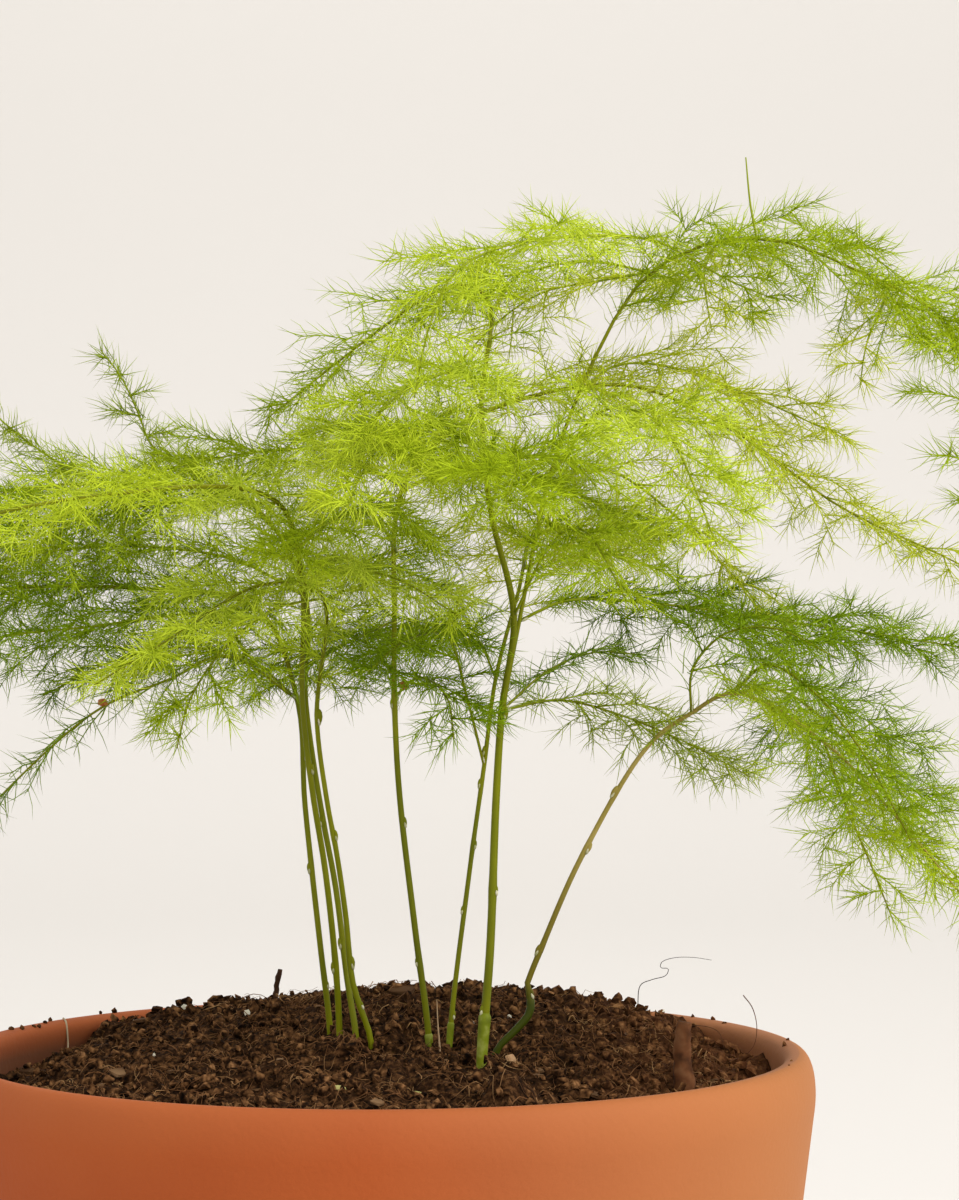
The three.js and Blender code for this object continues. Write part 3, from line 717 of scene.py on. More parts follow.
# %% The stems
Stem = namedtuple("Stem", "name radius joints axes")
Axis = namedtuple("Axis", "bare reach green fullness route")

STEMS = []


def new_stem(number, radius, *joints):
    """A stem without any axes yet."""
    STEMS.append(Stem(f"leafy_stem_{number}", radius, joints, []))


def new_axis(bare, reach, green, fullness, *route):
    """One more axis for the newest stem."""
    STEMS[-1].axes.append(Axis(bare, reach, green, fullness, route))


# %% Stem 1
new_stem(1, 0.56, (139.6, 1, 0.7), (160.4, -1, 1), (179.9, 1, 0.9))
new_axis(
    0.45, 20, "deep", 1.2, (-9, 9, 118), (-9, 9, 131), (-10.7, 9.5, 146), (-12.3, 10, 160),
    (-13.6, 11, 172), (-15, 12, 190), (-22, 12, 206), (-42, 13, 209.5), (-72, 15, 209), (-93, 17, 204),
    (-108, 19, 196.5),
)
new_axis(
    0.12, 13, "blue", 0.35, (-15, 12, 190), (-27, 2, 198), (-36, -2, 194), (-48, -4, 189), (-64, -5, 175),
    (-72, -5, 166),
)
new_axis(
    0.1, 18, "deep", 1.2, (-22, 12, 206), (-35, 4, 205), (-50, -1, 203), (-66, -5, 201), (-84, -8, 195),
)
new_axis(
    0.15, 16, "deep", 1.2, (-15, 12, 190), (-24, 17, 197), (-36, 21, 199), (-50, 25, 196), (-62, 28, 190),
)

# %% Stem 2
new_stem(2, 0.58, (143.5, -1, 1.1), (178, 1, 1))
new_axis(
    0.42, 16, "lime", 1.05, (-7, 5, 118), (-7.2, 5, 131), (-7.8, 4, 143), (-9.6, 2, 160.7),
    (-11.6, 0, 173.7), (-13.3, -3, 190), (-13, -10, 210), (-17, -28, 224.5), (-43, -50, 224.5),
    (-73, -64, 217.5), (-94, -71, 211), (-110, -75, 202),
)
new_axis(0.1, 16, "lime", 1.4, (-13, -10, 210), (-6, -20, 213), (4, -30, 211), (14, -38, 205))

# %% Stem 3
new_stem(3, 0.57, (147.5, -1, 1.1), (168.3, -1, 0.9))
new_axis(
    0.46, 22, "leaf", 1.1, (-4, 2.5, 118), (-4.2, 2.5, 131), (-5.9, 5, 141.4), (-8, 8, 157),
    (-10.4, 11, 169), (-12.8, 15, 182.8), (-13.9, 19, 191.5), (-14, 23, 208), (-25, 34, 225.2),
    (-53, 46, 229), (-69, 52, 228), (-88, 58, 223.5),
)
new_axis(
    0.2, 7, "olive", 1.8, (-25, 34, 225.2), (-36, 35, 231.5), (-42.5, 34, 235.5), (-45, 33, 241.5),
    (-48, 31.5, 248), (-51.7, 30, 253),
)
new_axis(0.1, 8, "olive", 1.5, (-53, 46, 229), (-61, 44, 233), (-68, 42, 238), (-76, 39, 245))
new_axis(
    0.1, 20, "deep", 1.2, (-25, 34, 225.2), (-40, 29, 225), (-55, 25, 222), (-78, 23, 218), (-98, 22, 211),
)
new_axis(
    0.12, 20, "leaf", 1.3, (-14, 23, 208), (-26, 20, 214.5), (-42, 17, 217), (-60, 14, 216), (-78, 11, 212),
)
new_axis(0.15, 17, "deep", 1.3, (-14, 23, 208), (-8, 30, 213), (-1, 39, 214), (8, 50, 211))

# %% Stem 4
new_stem(4, 0.54, (137.4, 1, 0.8), (144.7, 1, 1.2), (167, 1, 1), (187.6, 1, 1.5))
new_axis(
    0.5, 16, "lime", 1.5, (-1.6, -1, 118), (-1.6, -1, 131.5), (-3.5, -1, 137.4), (-4.8, -1, 142),
    (-5.9, -1.5, 153), (-7.5, -3, 164.5), (-9, -4.5, 173), (-10.6, -8, 187.5), (-9, -18, 208),
    (-19, -36, 210), (-33, -50, 201), (-44, -58, 194),
)
new_axis(
    0.3, 15, "leaf", 2, (-9, -18, 208), (-17, -31, 206), (-24, -41, 200), (-29, -47, 192), (-31, -50, 184),
)

# %% Stem 5
new_stem(5, 0.58, (144.5, -1, 0.8), (169, 1, 1), (189.6, -1, 0.9))
new_axis(
    0.42, 20, "pale", 0.5, (8.5, -1, 118), (8.5, -1, 131), (6, 0, 151), (3, 1, 178), (2.5, -1, 204),
    (4, -3, 227), (14, -2, 238), (42, 4, 245), (60, 5, 238), (80, 6, 224), (99, 8, 215), (109, 9, 210),
)
new_axis(0.08, 18, "leaf", 1.5, (4, -3, 227), (-7, 4, 233), (-16, 8, 234), (-27, 13, 233), (-42, 20, 230))
new_axis(0.1, 17, "deep", 1.3, (2.5, -1, 204), (-4, 12, 201), (-12, 27, 197), (-22, 42, 191))
new_axis(0.1, 17, "leaf", 1.7, (3, -2, 216), (-1, -24, 222), (-6, -38, 221), (-14, -56, 214))
new_axis(0.1, 17, "lime", 1.9, (4, -3, 227), (7, -26, 234), (4, -42, 235), (0, -58, 230), (-3, -73, 222))
new_axis(0.15, 13, "deep", 1.3, (2.7, 0, 191), (6, -6, 194), (9, -15, 194), (12, -25, 191), (13, -36, 185))
new_axis(0.1, 18, "leaf", 1.4, (4, -3, 227), (14, 5, 230), (26, 11, 229), (38, 15, 225), (50, 18, 218))

# %% Stem 6
new_stem(6, 0.46, (136.4, 1, 0.8), (154.2, -1, 0.8), (165.5, 1, 0.8), (175.7, -1, 0.9), (181.3, -1, 0.9))
new_axis(
    0.5, 20, "pale", 0.6, (12, -5, 118), (12, -5, 131), (15.5, -3, 161), (18, -2, 179), (20, 0, 194),
    (24, 6, 209), (27, 30, 219), (38, 62, 219), (43.5, 82, 213.5),
)
new_axis(0.25, 14, "deep", 1.3, (18, -2, 179), (15, -4, 191), (12, -10, 201), (5, -26, 201), (-1, -38, 196))
new_axis(0.15, 14, "deep", 1.2, (20, 0, 194), (17, 6, 200), (9, 15, 203), (0, 26, 199))

# %% Stem 7
new_stem(7, 0.76, (138.5, -1, 1), (158.7, 1, 0.9), (188.4, 1, 1.4), (239, 1, 1))
new_axis(
    0.7, 16, "leaf", 0.6, (17.5, -18.5, 118), (17.5, -18.5, 129), (19, -17, 149), (20, -15, 174),
    (21, -14, 189), (23, -17, 205), (19, -19, 223), (17.5, -14, 241), (19, -9, 258), (15.5, -7, 261.5),
    (9, -5.5, 260), (2, -4, 255.5), (-6, -3, 249.5), (-20.5, 0, 238.2),
)
new_axis(
    0.42, 22, "leaf", 1.3, (21, -14, 189), (24, -9, 204), (29, -6, 228), (34, -4, 242.5), (38, -3.5, 251.2),
    (41.7, -3, 258), (46.5, -3, 264), (52.2, -3.5, 267.3), (58, -4.5, 269.2), (64.7, -5.5, 269.7),
    (72.5, -7, 268), (80.3, -9, 264.3), (87, -11, 261), (94, -13, 257), (98, -15, 250), (99.5, -18, 238),
    (100, -21, 222),
)
new_axis(
    0.08, 15, "lime", 1.2, (52.2, -3.5, 267.3), (47, -8, 269), (40, -14, 269.2), (31, -22, 268.2),
    (21, -34, 265.5), (13, -45, 260), (9, -55, 250), (7, -61, 239),
)
new_axis(
    0.1, 14, "leaf", 0.8, (46.5, -3, 264), (39, 1, 266), (34.8, 3, 266.5), (26, 5, 265), (14, 8, 262),
    (4, 10, 256),
)
new_axis(
    0.08, 20, "deep", 1.6, (24, -9, 204), (32, -6, 207.5), (52, 0, 206.5), (66, 3, 204.5), (97, 5, 200),
    (108, 5, 198),
)
new_axis(
    0.12, 16, "olive", 0.9, (21, -14, 189), (31, -8, 190.5), (41, -5, 188), (54, -3, 182.5), (64, -2, 177),
)
new_axis(0.15, 9, "blue", 0.7, (21, -14, 189), (29, -6, 195.5), (37, 0, 198.5), (46, 4, 198))
new_axis(
    0.1, 12, "leaf", 1, (52.2, -3.5, 267.3), (56.4, -1, 265), (60.8, 1, 262.8), (65, 2.5, 261.2),
    (69.5, 3.5, 259.6),
)
new_axis(0.1, 16, "pale", 0.55, (58, -4.5, 269.2), (57, 13, 266), (58, 27, 263), (60, 40, 257))
new_axis(0.1, 9, "pale", 0.5, (87, -11, 261), (87, 4, 258), (86, 17, 253), (86, 28, 246))
new_axis(
    0.1, 16, "lime", 1.4, (17.5, -14, 241), (15, -26, 245), (10, -40, 244), (4, -52, 240), (-3, -66, 231),
)
new_axis(0.1, 16, "leaf", 1.7, (19, -19, 223), (22, -40, 231), (23, -56, 230), (21, -80, 221))
new_axis(0.15, 15, "leaf", 1.5, (23, -17, 205), (29, -29, 217), (34, -42, 219), (40, -62, 208))
new_axis(
    0.1, 17, "lime", 1.2, (29, -6, 228), (37, -15, 239), (43, -27, 239), (48, -42, 234), (54, -66, 216),
)
new_axis(
    0.1, 18, "pale", 0.5, (34, -4, 242.5), (40, 3, 248), (48, 10, 249), (57, 14, 247), (70, 19, 242),
    (84, 24, 236),
)
new_axis(0.1, 16, "pale", 0.6, (46.5, -3, 264), (38, 9, 263.5), (28, 17, 262), (19, 22, 256), (12, 26, 248))
new_axis(0.1, 18, "pale", 0.45, (29, -6, 228), (40, 4, 230), (52, 10, 222), (62, 14, 212), (70, 17, 203))
new_axis(1, 0, "leaf", 1, (64.7, -5.5, 269.7), (63.6, -5.8, 275.5), (62.8, -6, 283.5))

# %% Stem 8
new_stem(8, 0.54, (140.6, 1, 1), (147.7, -1, 1.1), (165.3, 1, 1.1), (174.7, -1, 1.2))
new_axis(
    0.58, 20, "leaf", 1.15, (20, -13, 118), (20, -13, 131), (21.3, -13, 132.8), (23.2, -12.7, 134.6),
    (25.6, -12.2, 137.4), (25.9, -12, 139.5), (25.3, -11.8, 142.3), (25.9, -11.5, 144.1),
    (27.4, -11, 147.7), (34.4, -9.5, 163.5), (46, -11, 183), (53, -14, 188.5), (60, -17, 192),
    (74.5, -25, 184), (87, -32, 170.5), (97, -38, 158),
)
new_axis(
    0.12, 16, "deep", 1.2, (60, -17, 192), (65, -27, 197), (72, -35, 192.5), (79, -43, 183), (86, -51, 169),
)
new_axis(0.15, 12, "leaf", 0.9, (74.5, -25, 184), (79, -15, 173), (84, -6, 163), (89, 2, 152))
new_axis(
    0.12, 18, "blue", 0.7, (60, -17, 192), (69, -6, 192), (78, 6, 186), (87, 16, 176.5), (96, 27, 162.5),
)
new_axis(
    0.15, 14, "deep", 0.8, (53, -14, 188.5), (53, -18, 196), (58, -23, 202), (66, -29, 203), (76, -34, 198),
)
print(len(STEMS), "stems with", sum(len(stem.axes) for stem in STEMS), "axes")

# %% [markdown]
# ## Needles
#
# What looks like leaves on this plant are needle-like twigs, five to eight millimetres long and as
# thin as a thread. They stand close together round the end of each twig and along it, and curve. A
# needle is a cone with three sides. Most are cut once across: they keep their thickness up to there and
# bend beyond. The needles of a tuft leave their twig one behind the other, and the foremost ones lean
# forward, so that tufts in a row look like one brush. A tuft has fewer than forty faces, and sixteen
# different ones are the stamps for the whole plant.

# %% A tuft of needles
NEEDLE_LENGTH = 7.2
NEEDLE_RADIUS = 0.095
NEEDLES = 6
STRAIGHT_NEEDLES = 2
GOLDEN_ANGLE = math.radians(137.5)
TUFT_DEPTH = 2.4  # from the hindmost needle to the foremost
WIDEST_LEAN, NARROWEST_LEAN = 66, 24  # of the hindmost and the foremost, in degrees
TUFT_SHAPES = 16
NEEDLE_LENGTHS = (0.68, 1.1)  # as shares of the usual length
NEEDLE_CURL = (-30, 18)  # degrees, inwards or outwards
LEAN_WOBBLE = 9  # degrees
TURN_WOBBLE = 0.4  # radians
KNEE_THICKNESS = 1.8  # where a cone is half as thick as at its root, this makes it 0.9


def needle_cone(length):
    """A straight three-sided needle on Z."""
    bm = bmesh.new()
    middle = Matrix.Translation((0, 0, length / 2))
    bmesh.ops.create_cone(
        bm, cap_ends=True, segments=3, radius1=NEEDLE_RADIUS, radius2=0, depth=length, matrix=middle,
    )
    return bm


def bend_needle(bm, length, curl):
    """Cuts a needle half way, keeps it thick up to there, and turns what is beyond by curl about Y."""
    slopes = [edge for edge in bm.edges if abs(edge.verts[0].co.z - edge.verts[1].co.z) > length / 2]
    bmesh.ops.subdivide_edges(bm, edges=slopes, cuts=1, use_grid_fill=True)
    knee = Vector((0, 0, length / 2))
    for vertex in bm.verts:
        if 0.1 < vertex.co.z / length < 0.9:
            vertex.co = (vertex.co.x * KNEE_THICKNESS, vertex.co.y * KNEE_THICKNESS, vertex.co.z)
        elif vertex.co.z > knee.z:
            vertex.co = knee + Matrix.Rotation(curl, 3, "Y") @ (vertex.co - knee)
    return bm


def tuft_stamp(rng):
    """Needles that leave the Z axis one behind the other, on all sides."""
    tuft = bmesh.new()
    straight = rng.sample(range(NEEDLES), STRAIGHT_NEEDLES)
    for i in range(NEEDLES):
        length = NEEDLE_LENGTH * rng.uniform(*NEEDLE_LENGTHS)
        forward = (i + rng.random()) / NEEDLES
        lean = WIDEST_LEAN + (NARROWEST_LEAN - WIDEST_LEAN) * forward
        lean = math.radians(lean + rng.uniform(-LEAN_WOBBLE, LEAN_WOBBLE))
        needle = needle_cone(length)
        if i not in straight:
            bend_needle(needle, length, math.radians(rng.uniform(*NEEDLE_CURL)))
        azimuth = i * GOLDEN_ANGLE + rng.uniform(-TURN_WOBBLE, TURN_WOBBLE)
        turn = Matrix.Rotation(azimuth, 3, "Z") @ Matrix.Rotation(lean, 3, "Y")
        bmesh.ops.rotate(needle, cent=(0, 0, 0), matrix=turn, verts=needle.verts)
        bmesh.ops.translate(needle, vec=(0, 0, TUFT_DEPTH * (forward - 1)), verts=needle.verts)
        mesh = bpy.data.meshes.new("needle")
        needle.to_mesh(mesh)
        needle.free()
        tuft.from_mesh(mesh)
        bpy.data.meshes.remove(mesh)
    return Stamp(tuft)


needle_rng = random.Random(23)
tuft_stamps = [tuft_stamp(needle_rng) for _ in range(TUFT_SHAPES)]
print("a tuft has", len(tuft_stamps[0].mesh.polygons), "faces")

# %% [markdown]
# ## Sprays and twigs
#
# From each leafy axis, sprays leave to the left and to the right in turn, level and leaning forward.
# They are longest before the middle and shrink towards the tip, which gives a plume its
# outline. Twigs leave each spray in the same way. The rule is that of the solid stems, with four times
# as many sprays, so the finer plume fills the same form. A spray droops under its own weight.

# %% The rule for sprays
SOLID_SPRAY_PITCH = 13.4
SPRAYS_FOR_ONE = 4
SPRAY_ANGLE = math.radians(54)
SPRAY_DROOP = 0.14
SPRAY_RISE = 0.35
SPRAY_ARCH = 0.05  # its middle stands above the straight line by this share of its length
SPRAY_SWAY = 0.07
STEEP = 0.8  # an axis that climbs more steeply has its sprays all round
TWIG_PITCH = 3.6
TWIG_SHARE = 0.52  # of the length of its spray
TWIG_RISE = 0.6
TWIGS_START, TWIGS_SPAN = 0.16, 0.72  # the stretch of a spray that has twigs
TWIG_LENGTHS = (0.8, 1.15)
SPRAY_SWELL, TWIG_SWELL = (0.22, 0.72), (0.3, 0.55)  # [start, span] on a half wave
SPRAY_SHORTEST, SPRAY_UNEVEN, SPRAY_STRIDE = 0.86, 0.28, 0.618
BOX_MARGIN = 0.2
box_low = [value / MM + BOX_MARGIN for value in cad_bounds[0]]
box_high = [value / MM - BOX_MARGIN for value in cad_bounds[1]]


def level_side(direction):
    """The level way to the left of a direction."""
    side = UP.cross(direction)
    return side.normalized() if side.length > 1e-3 else Vector((1, 0, 0))


def spray_direction(direction, turn, rise):
    """The way of a spray: left and right in turn, or round about where the axis is steep."""
    roll = turn * GOLDEN_ANGLE
    if abs(direction.z) > STEEP:
        return Vector((math.cos(roll), math.sin(roll), 0.3)).normalized()
    hand = 1 if turn % 2 == 0 else -1
    way = direction * math.cos(SPRAY_ANGLE) + level_side(direction) * (hand * math.sin(SPRAY_ANGLE))
    way.z += rise * math.sin(roll)
    return way.normalized()


def in_the_box(corners):
    """Whether all corners lie in the box of the solid model."""
    return all(low <= v <= high for corner in corners for low, v, high in zip(box_low, corner, box_high))


def drooping(start, way, length, rng):
    """A path that leaves along way, and bends down and a little sideways."""
    end = start + way * length - UP * (SPRAY_DROOP * length)
    while length > 1 and not in_the_box([end]):
        length *= 0.8
        end = start + way * length - UP * (SPRAY_DROOP * length)
    middle = start.lerp(end, 0.5) + UP * (SPRAY_ARCH * length)
    middle += level_side(way) * (rng.uniform(-SPRAY_SWAY, SPRAY_SWAY) * length)
    return Path([start, middle, end], 3)


def swell(share, start, span):
    """How long a spray or twig is: it follows a stretch of a half wave."""
    return math.sin(math.pi * (start + span * share))


def sprays_along(axis, path, rng):
    """The paths of all sprays of an axis."""
    count = SPRAYS_FOR_ONE * int(path.length * (1 - axis.bare) / SOLID_SPRAY_PITCH)
    sprays = []
    for turn in range(count):
        share = (turn + 0.5) / count
        start, direction, _ = path.at(axis.bare + (1 - axis.bare) * share)
        uneven = SPRAY_SHORTEST + SPRAY_UNEVEN * ((turn * SPRAY_STRIDE) % 1)
        length = axis.reach * swell(share, *SPRAY_SWELL) * uneven
        sprays.append(drooping(start, spray_direction(direction, turn, SPRAY_RISE), length, rng))
    return sprays


def twigs_along(spray, rng):
    """The paths of the twigs that leave a spray left and right."""
    count = int(TWIGS_SPAN * spray.length / TWIG_PITCH)
    twigs = []
    for turn in range(count):
        share = TWIGS_START + TWIGS_SPAN * (turn + 0.5) / count
        start, direction, _ = spray.at(share)
        length = spray.length * TWIG_SHARE * swell(share, *TWIG_SWELL) * rng.uniform(*TWIG_LENGTHS)
        twigs.append(drooping(start, spray_direction(direction, turn, TWIG_RISE), length, rng))
    return twigs


# %% [markdown]
# ## Plumes
#
# A plume is one leafy axis with its sprays, twigs and tufts. A tuft is turned so that its Z points
# along its twig, and rolled at random. Near the box of the solid model a tuft is printed smaller, and
# if that isn't enough it is left out.

# %% Set tufts along a path
TUFT_PITCH = 2.4
AXIS_TUFT_PITCH = 3.2
TWIGS_FROM = 0.4  # an airier plume has sprays but no twigs
TUFT_REACH = Vector((9, 9, 9))  # no needle of a tuft reaches further
TUFT_SIZES = (0.85, 1.1)
SHRINKS = (1, 0.75, 0.5)
SPRAY_RADIUS, SPRAY_THINNING = 0.19, 0.11
TWIG_RADIUS, TWIG_THINNING = 0.12, 0.05


def print_tuft(bm, place, direction, size, rng):
    """Prints one tuft, and tells how many were printed: 1, or 0 where it has no room."""
    turn = direction.to_track_quat("Z", "Y") @ Quaternion((0, 0, 1), rng.uniform(0, math.tau))
    stamp = rng.choice(tuft_stamps)
    for shrink in SHRINKS:
        matrix = Matrix.LocRotScale(place, turn, Vector((1, 1, 1)) * (size * shrink))
        near_edge = not in_the_box([place - TUFT_REACH, place + TUFT_REACH])
        if not near_edge or in_the_box([matrix @ corner for corner in stamp.corners]):
            stamp.print_into(bm, matrix)
            return 1
    return 0


def print_tufts(bm, path, start, pitch, size, rng):
    """Tufts along a path from a share of it to its very tip, smaller towards the tip."""
    count = max(2, round(path.length * (1 - start) / pitch))
    printed = 0
    for i in range(count + 1):
        share = start + (1 - start) * i / count
        place, direction, _ = path.at(share)
        tuft_size = size * (1.05 - 0.25 * share) * rng.uniform(*TUFT_SIZES)
        printed += print_tuft(bm, place, direction, tuft_size, rng)
    return printed


def plume(axis, path, rng):
    """The mesh of one leafy axis without its stalk."""
    bm = bmesh.new()
    pitch = TUFT_PITCH / axis.fullness
    tufts = print_tufts(bm, path, axis.bare, AXIS_TUFT_PITCH / axis.fullness, size=0.9, rng=rng)
    for spray in sprays_along(axis, path, rng):
        spray_rod.print_along(bm, spray, lambda share: SPRAY_RADIUS - SPRAY_THINNING * share)
        tufts += print_tufts(bm, spray, 0.1, pitch, size=1, rng=rng)
        twigs = twigs_along(spray, rng) if axis.fullness >= TWIGS_FROM else []
        for twig in twigs:
            twig_rod.print_along(bm, twig, lambda share: TWIG_RADIUS - TWIG_THINNING * share)
            tufts += print_tufts(bm, twig, 0.3, pitch, size=0.95, rng=rng)
    return bm, tufts


# %% [markdown]
# ### Greens
#
# Young plumes are lime, and the thin ones at the back look pale against the light. The deep green of the
# plumes under and behind the others is painted shade. Every tone is also brighter than the needles' own
# green: painted light that stands in for the light shining through the thin needles. Each tone is a
# finish of its own, and an axis names the one that its needles have.

# %% Mix the greens
# every tone is brighter than the needles' own green: painted light for the light that shines through them
TONES = {
    "lime": [(0.48, 0.6, 0.018), (0.58, 0.71, 0.035), (0.67, 0.8, 0.07)],
    "leaf": [(0.315, 0.42, 0.006), (0.41, 0.54, 0.012), (0.515, 0.65, 0.03)],
    "pale": [(0.48, 0.55, 0.02), (0.6, 0.67, 0.035), (0.7, 0.77, 0.07)],
    "olive": [(0.26, 0.35, 0.012), (0.38, 0.48, 0.03), (0.52, 0.6, 0.08)],
    # painted shade: the plumes under and behind the others
    "deep": [(0.15, 0.25, 0.003), (0.235, 0.36, 0.006), (0.34, 0.48, 0.012)],
    "blue": [(0.15, 0.26, 0.015), (0.24, 0.36, 0.028), (0.34, 0.46, 0.05)],
}
GREENS = {green: finish_of(f"{green}_needles", tones, 70, 0.55, 0.04) for green, tones in TONES.items()}
print("greens:", ", ".join(GREENS))

# %% [markdown]
# ## Stalks
#
# The stalks are smooth and green, a bit more than a millimetre thick, and thinner towards the tip.
# Every few centimetres there is a knot. It swells the stalk a little and has a bud on one side, under
# a small papery scale. Four of the stalks still have their sheath, a thicker sleeve round the foot.
# The side branches are younger and brighter, but for one fork of stem 7, which is as old as its stalk.

# %% Stalks with knots
STALK_TIP_RADIUS = 0.12
STALK_TAPER = 1.5  # 1 is even, more is later
BRANCH_RADIUS = 0.2  # plus a thousandth of its length, because long branches are thicker
KNOT_LENGTH = 1.1
KNOT_SWELL = 0.12
ROD_END = 0.995  # the rod stops just before the end of its path, within the last needles
SHEATHS = {  # [height of its top, radius]
    "leafy_stem_5": (132.5, 0.66), "leafy_stem_6": (135.5, 0.58), "leafy_stem_7": (138.6, 1.0),
    "leafy_stem_8": (140.6, 0.66),
}
SHEATH_FOOT = 122
SHEATH_ROOT, SHEATH_SPREAD = 0.72, 0.4  # as shares of its radius
SHEATH_CLOSING, SHEATH_END = 12, 1.04
TO_THE_FRONT = -0.4  # buds and scales look a little to the front
BUD = Vector((0.42, 0.36, 0.95))
KNOT_SCALE = Vector((0.2, 0.36, 0.62))
BRANCH_SCALE = Vector((0.13, 0.28, 0.7))


def share_at_height(path, z):
    """The first share of a path that is as high as z."""
    return next(i / 400 for i in range(401) if path.at(i / 400)[0].z >= z)


def stalk_radius(path, root_radius, knots):
    """The radius as a function of the share, with a swelling at each knot."""

    def radius_at(share):
        radius = root_radius + (STALK_TIP_RADIUS - root_radius) * share**STALK_TAPER
        for knot in knots:
            apart = (share - knot) * path.length / KNOT_LENGTH
            radius *= 1 + KNOT_SWELL * math.exp(-(apart**2))
        return radius

    return radius_at


sheath_rod = rod_stamp(rings=16, sides=12)


def print_on_side(bm, path, share, radius, hand, size):
    """Sets a stretched ball against one side of a stalk: the right one, or the left one if hand is -1."""
    place, direction, _ = path.at(share)
    out = Vector((hand, TO_THE_FRONT, 0))
    out = (out - direction * out.dot(direction)).normalized()
    turn = Matrix((out, direction.cross(out), direction)).transposed().to_quaternion()
    ball.print_into(bm, Matrix.LocRotScale(place + out * radius, turn, size))


def print_knot(buds, scales, path, share, radius, hand, size):
    """A bud on one side of a stalk, and the papery scale that lies over its foot."""
    print_on_side(buds, path, share, radius * 0.8, hand, BUD * size)
    foot = share - 0.5 * size / path.length
    flat = Vector((KNOT_SCALE.x, KNOT_SCALE.y * size, KNOT_SCALE.z * size))
    print_on_side(scales, path, foot, radius * 1.05, hand * 0.7, flat)


def print_sheath(bm, path, top, radius):
    """A sleeve round the foot of a stalk that opens upwards and closes at its top."""
    start, end = share_at_height(path, SHEATH_FOOT), share_at_height(path, top)

    def radius_at(share):
        return radius * min(SHEATH_ROOT + SHEATH_SPREAD * share, SHEATH_CLOSING * (SHEATH_END - share))

    sheath_rod.print_along(bm, path, radius_at, start, end)


# %% Finishes of the stalks
STALK_GREEN = [(0.13, 0.145, 0.002), (0.185, 0.2, 0.003), (0.27, 0.28, 0.007)]
YOUNG_GREEN = (0.27, 0.33, 0.008)
STALK_OCHRE = [(0.24, 0.19, 0.03), (0.38, 0.3, 0.07), (0.5, 0.39, 0.13)]
LOW_OCHRE = (0.17, 0.14, 0.01)  # darker towards the soil
DEEP_FOOT = (0.045, 0.06, 0.003)  # its foot and its sheath are deep green
SHEATH_GREEN = [(0.12, 0.15, 0.003), (0.18, 0.22, 0.008), (0.34, 0.37, 0.08)]
PAPERY = [(0.3, 0.32, 0.12), (0.5, 0.49, 0.28), (0.68, 0.65, 0.48)]
RUST = [(0.3, 0.09, 0.025), (0.5, 0.19, 0.07)]

stalk_green = finish_of("stalk_green", STALK_GREEN, 45, 0.42, 0.12)
young_green = fade(finish_of("young_green", STALK_GREEN, 45, 0.42, 0.12), YOUNG_GREEN, "Z", 0.185, 0.22)
stalk_ochre = finish_of("stalk_ochre", STALK_OCHRE, 60, 0.42, 0.12)
fade(stalk_ochre, LOW_OCHRE, "Z", 0.168, 0.144)
fade(stalk_ochre, DEEP_FOOT, "Z", 0.1435, 0.139)
sheath_green = finish_of("sheath_green", SHEATH_GREEN, 420, 0.45, 0.15)
papery = finish_of("papery_scale", PAPERY, 900, 0.7, 0.1)
rust = finish_of("withered", RUST, 900, 0.8, 0.1)

# %% [markdown]
# ### Growing
#
# Now each stem is grown along its axes: the stalk with its knots, the branches, the scales and one
# plume for each leafy axis. Each of them is a piece with one finish, so that it can be changed or left
# out without touching the rest. Two stems have a scrap of withered growth caught in their needles.

# %% Grow the plant
WITHERED = {"leafy_stem_1": (-47.5, -3.8, 190), "leafy_stem_5": (4.2, -2.8, 193)}
WITHERED_SIZE = Vector((1.2, 0.7, 0.9))
FORK = ("leafy_stem_7", 1)  # this axis is as old as the stalk, and as dark
OCHRE_STEM = "leafy_stem_8"

for stem in STEMS:
    paths = [Path(axis.route, steps=14) for axis in stem.axes]
    stalks, branches, scales = bmesh.new(), bmesh.new(), bmesh.new()
    knots = [share_at_height(paths[0], height) for height, _, _ in stem.joints]
    stalk_rod.print_along(stalks, paths[0], stalk_radius(paths[0], stem.radius, knots), end=ROD_END)
    for knot, (_, hand, size) in zip(knots, stem.joints):
        print_knot(stalks, scales, paths[0], knot, stem.radius, hand, size)
    for i, path in enumerate(paths[1:], 1):
        root_radius = BRANCH_RADIUS + path.length / 1000
        limb = stalks if (stem.name, i) == FORK else branches
        branch_rod.print_along(limb, path, stalk_radius(path, root_radius, []), end=ROD_END)
        print_on_side(scales, path, 1 / path.length, root_radius, 1, BRANCH_SCALE)
    wood = stalk_ochre if stem.name == OCHRE_STEM else stalk_green
    add_piece(stem.name, "stalks", stalks, wood)
    add_piece(stem.name, "branches", branches, young_green)
    add_piece(stem.name, "scales", scales, papery)
    if stem.name in SHEATHS:
        sheath = bmesh.new()
        print_sheath(sheath, paths[0], *SHEATHS[stem.name])
        add_piece(stem.name, "sheath", sheath, stalk_ochre if wood is stalk_ochre else sheath_green)
    if stem.name in WITHERED:
        bit = bmesh.new()
        crumb_stamps[0].print_into(bit, Matrix.LocRotScale(Vector(WITHERED[stem.name]), None, WITHERED_SIZE))
        add_piece(stem.name, "withered_bit", bit, rust)
    for i, (axis, path) in enumerate(zip(stem.axes, paths)):
        if axis.bare < 1:
            foliage, tufts = plume(axis, path, random.Random(f"{stem.name} {i}"))
            print(f"  {tufts} tufts")
            add_piece(stem.name, f"plume_{i + 1}", foliage, GREENS[axis.green])

# %% [markdown]
# ## What is left of older stems
#
# Two dead stems stand in the soil: a thin dark twig at the back left and the brown stub of a cut stem
# at the front right.

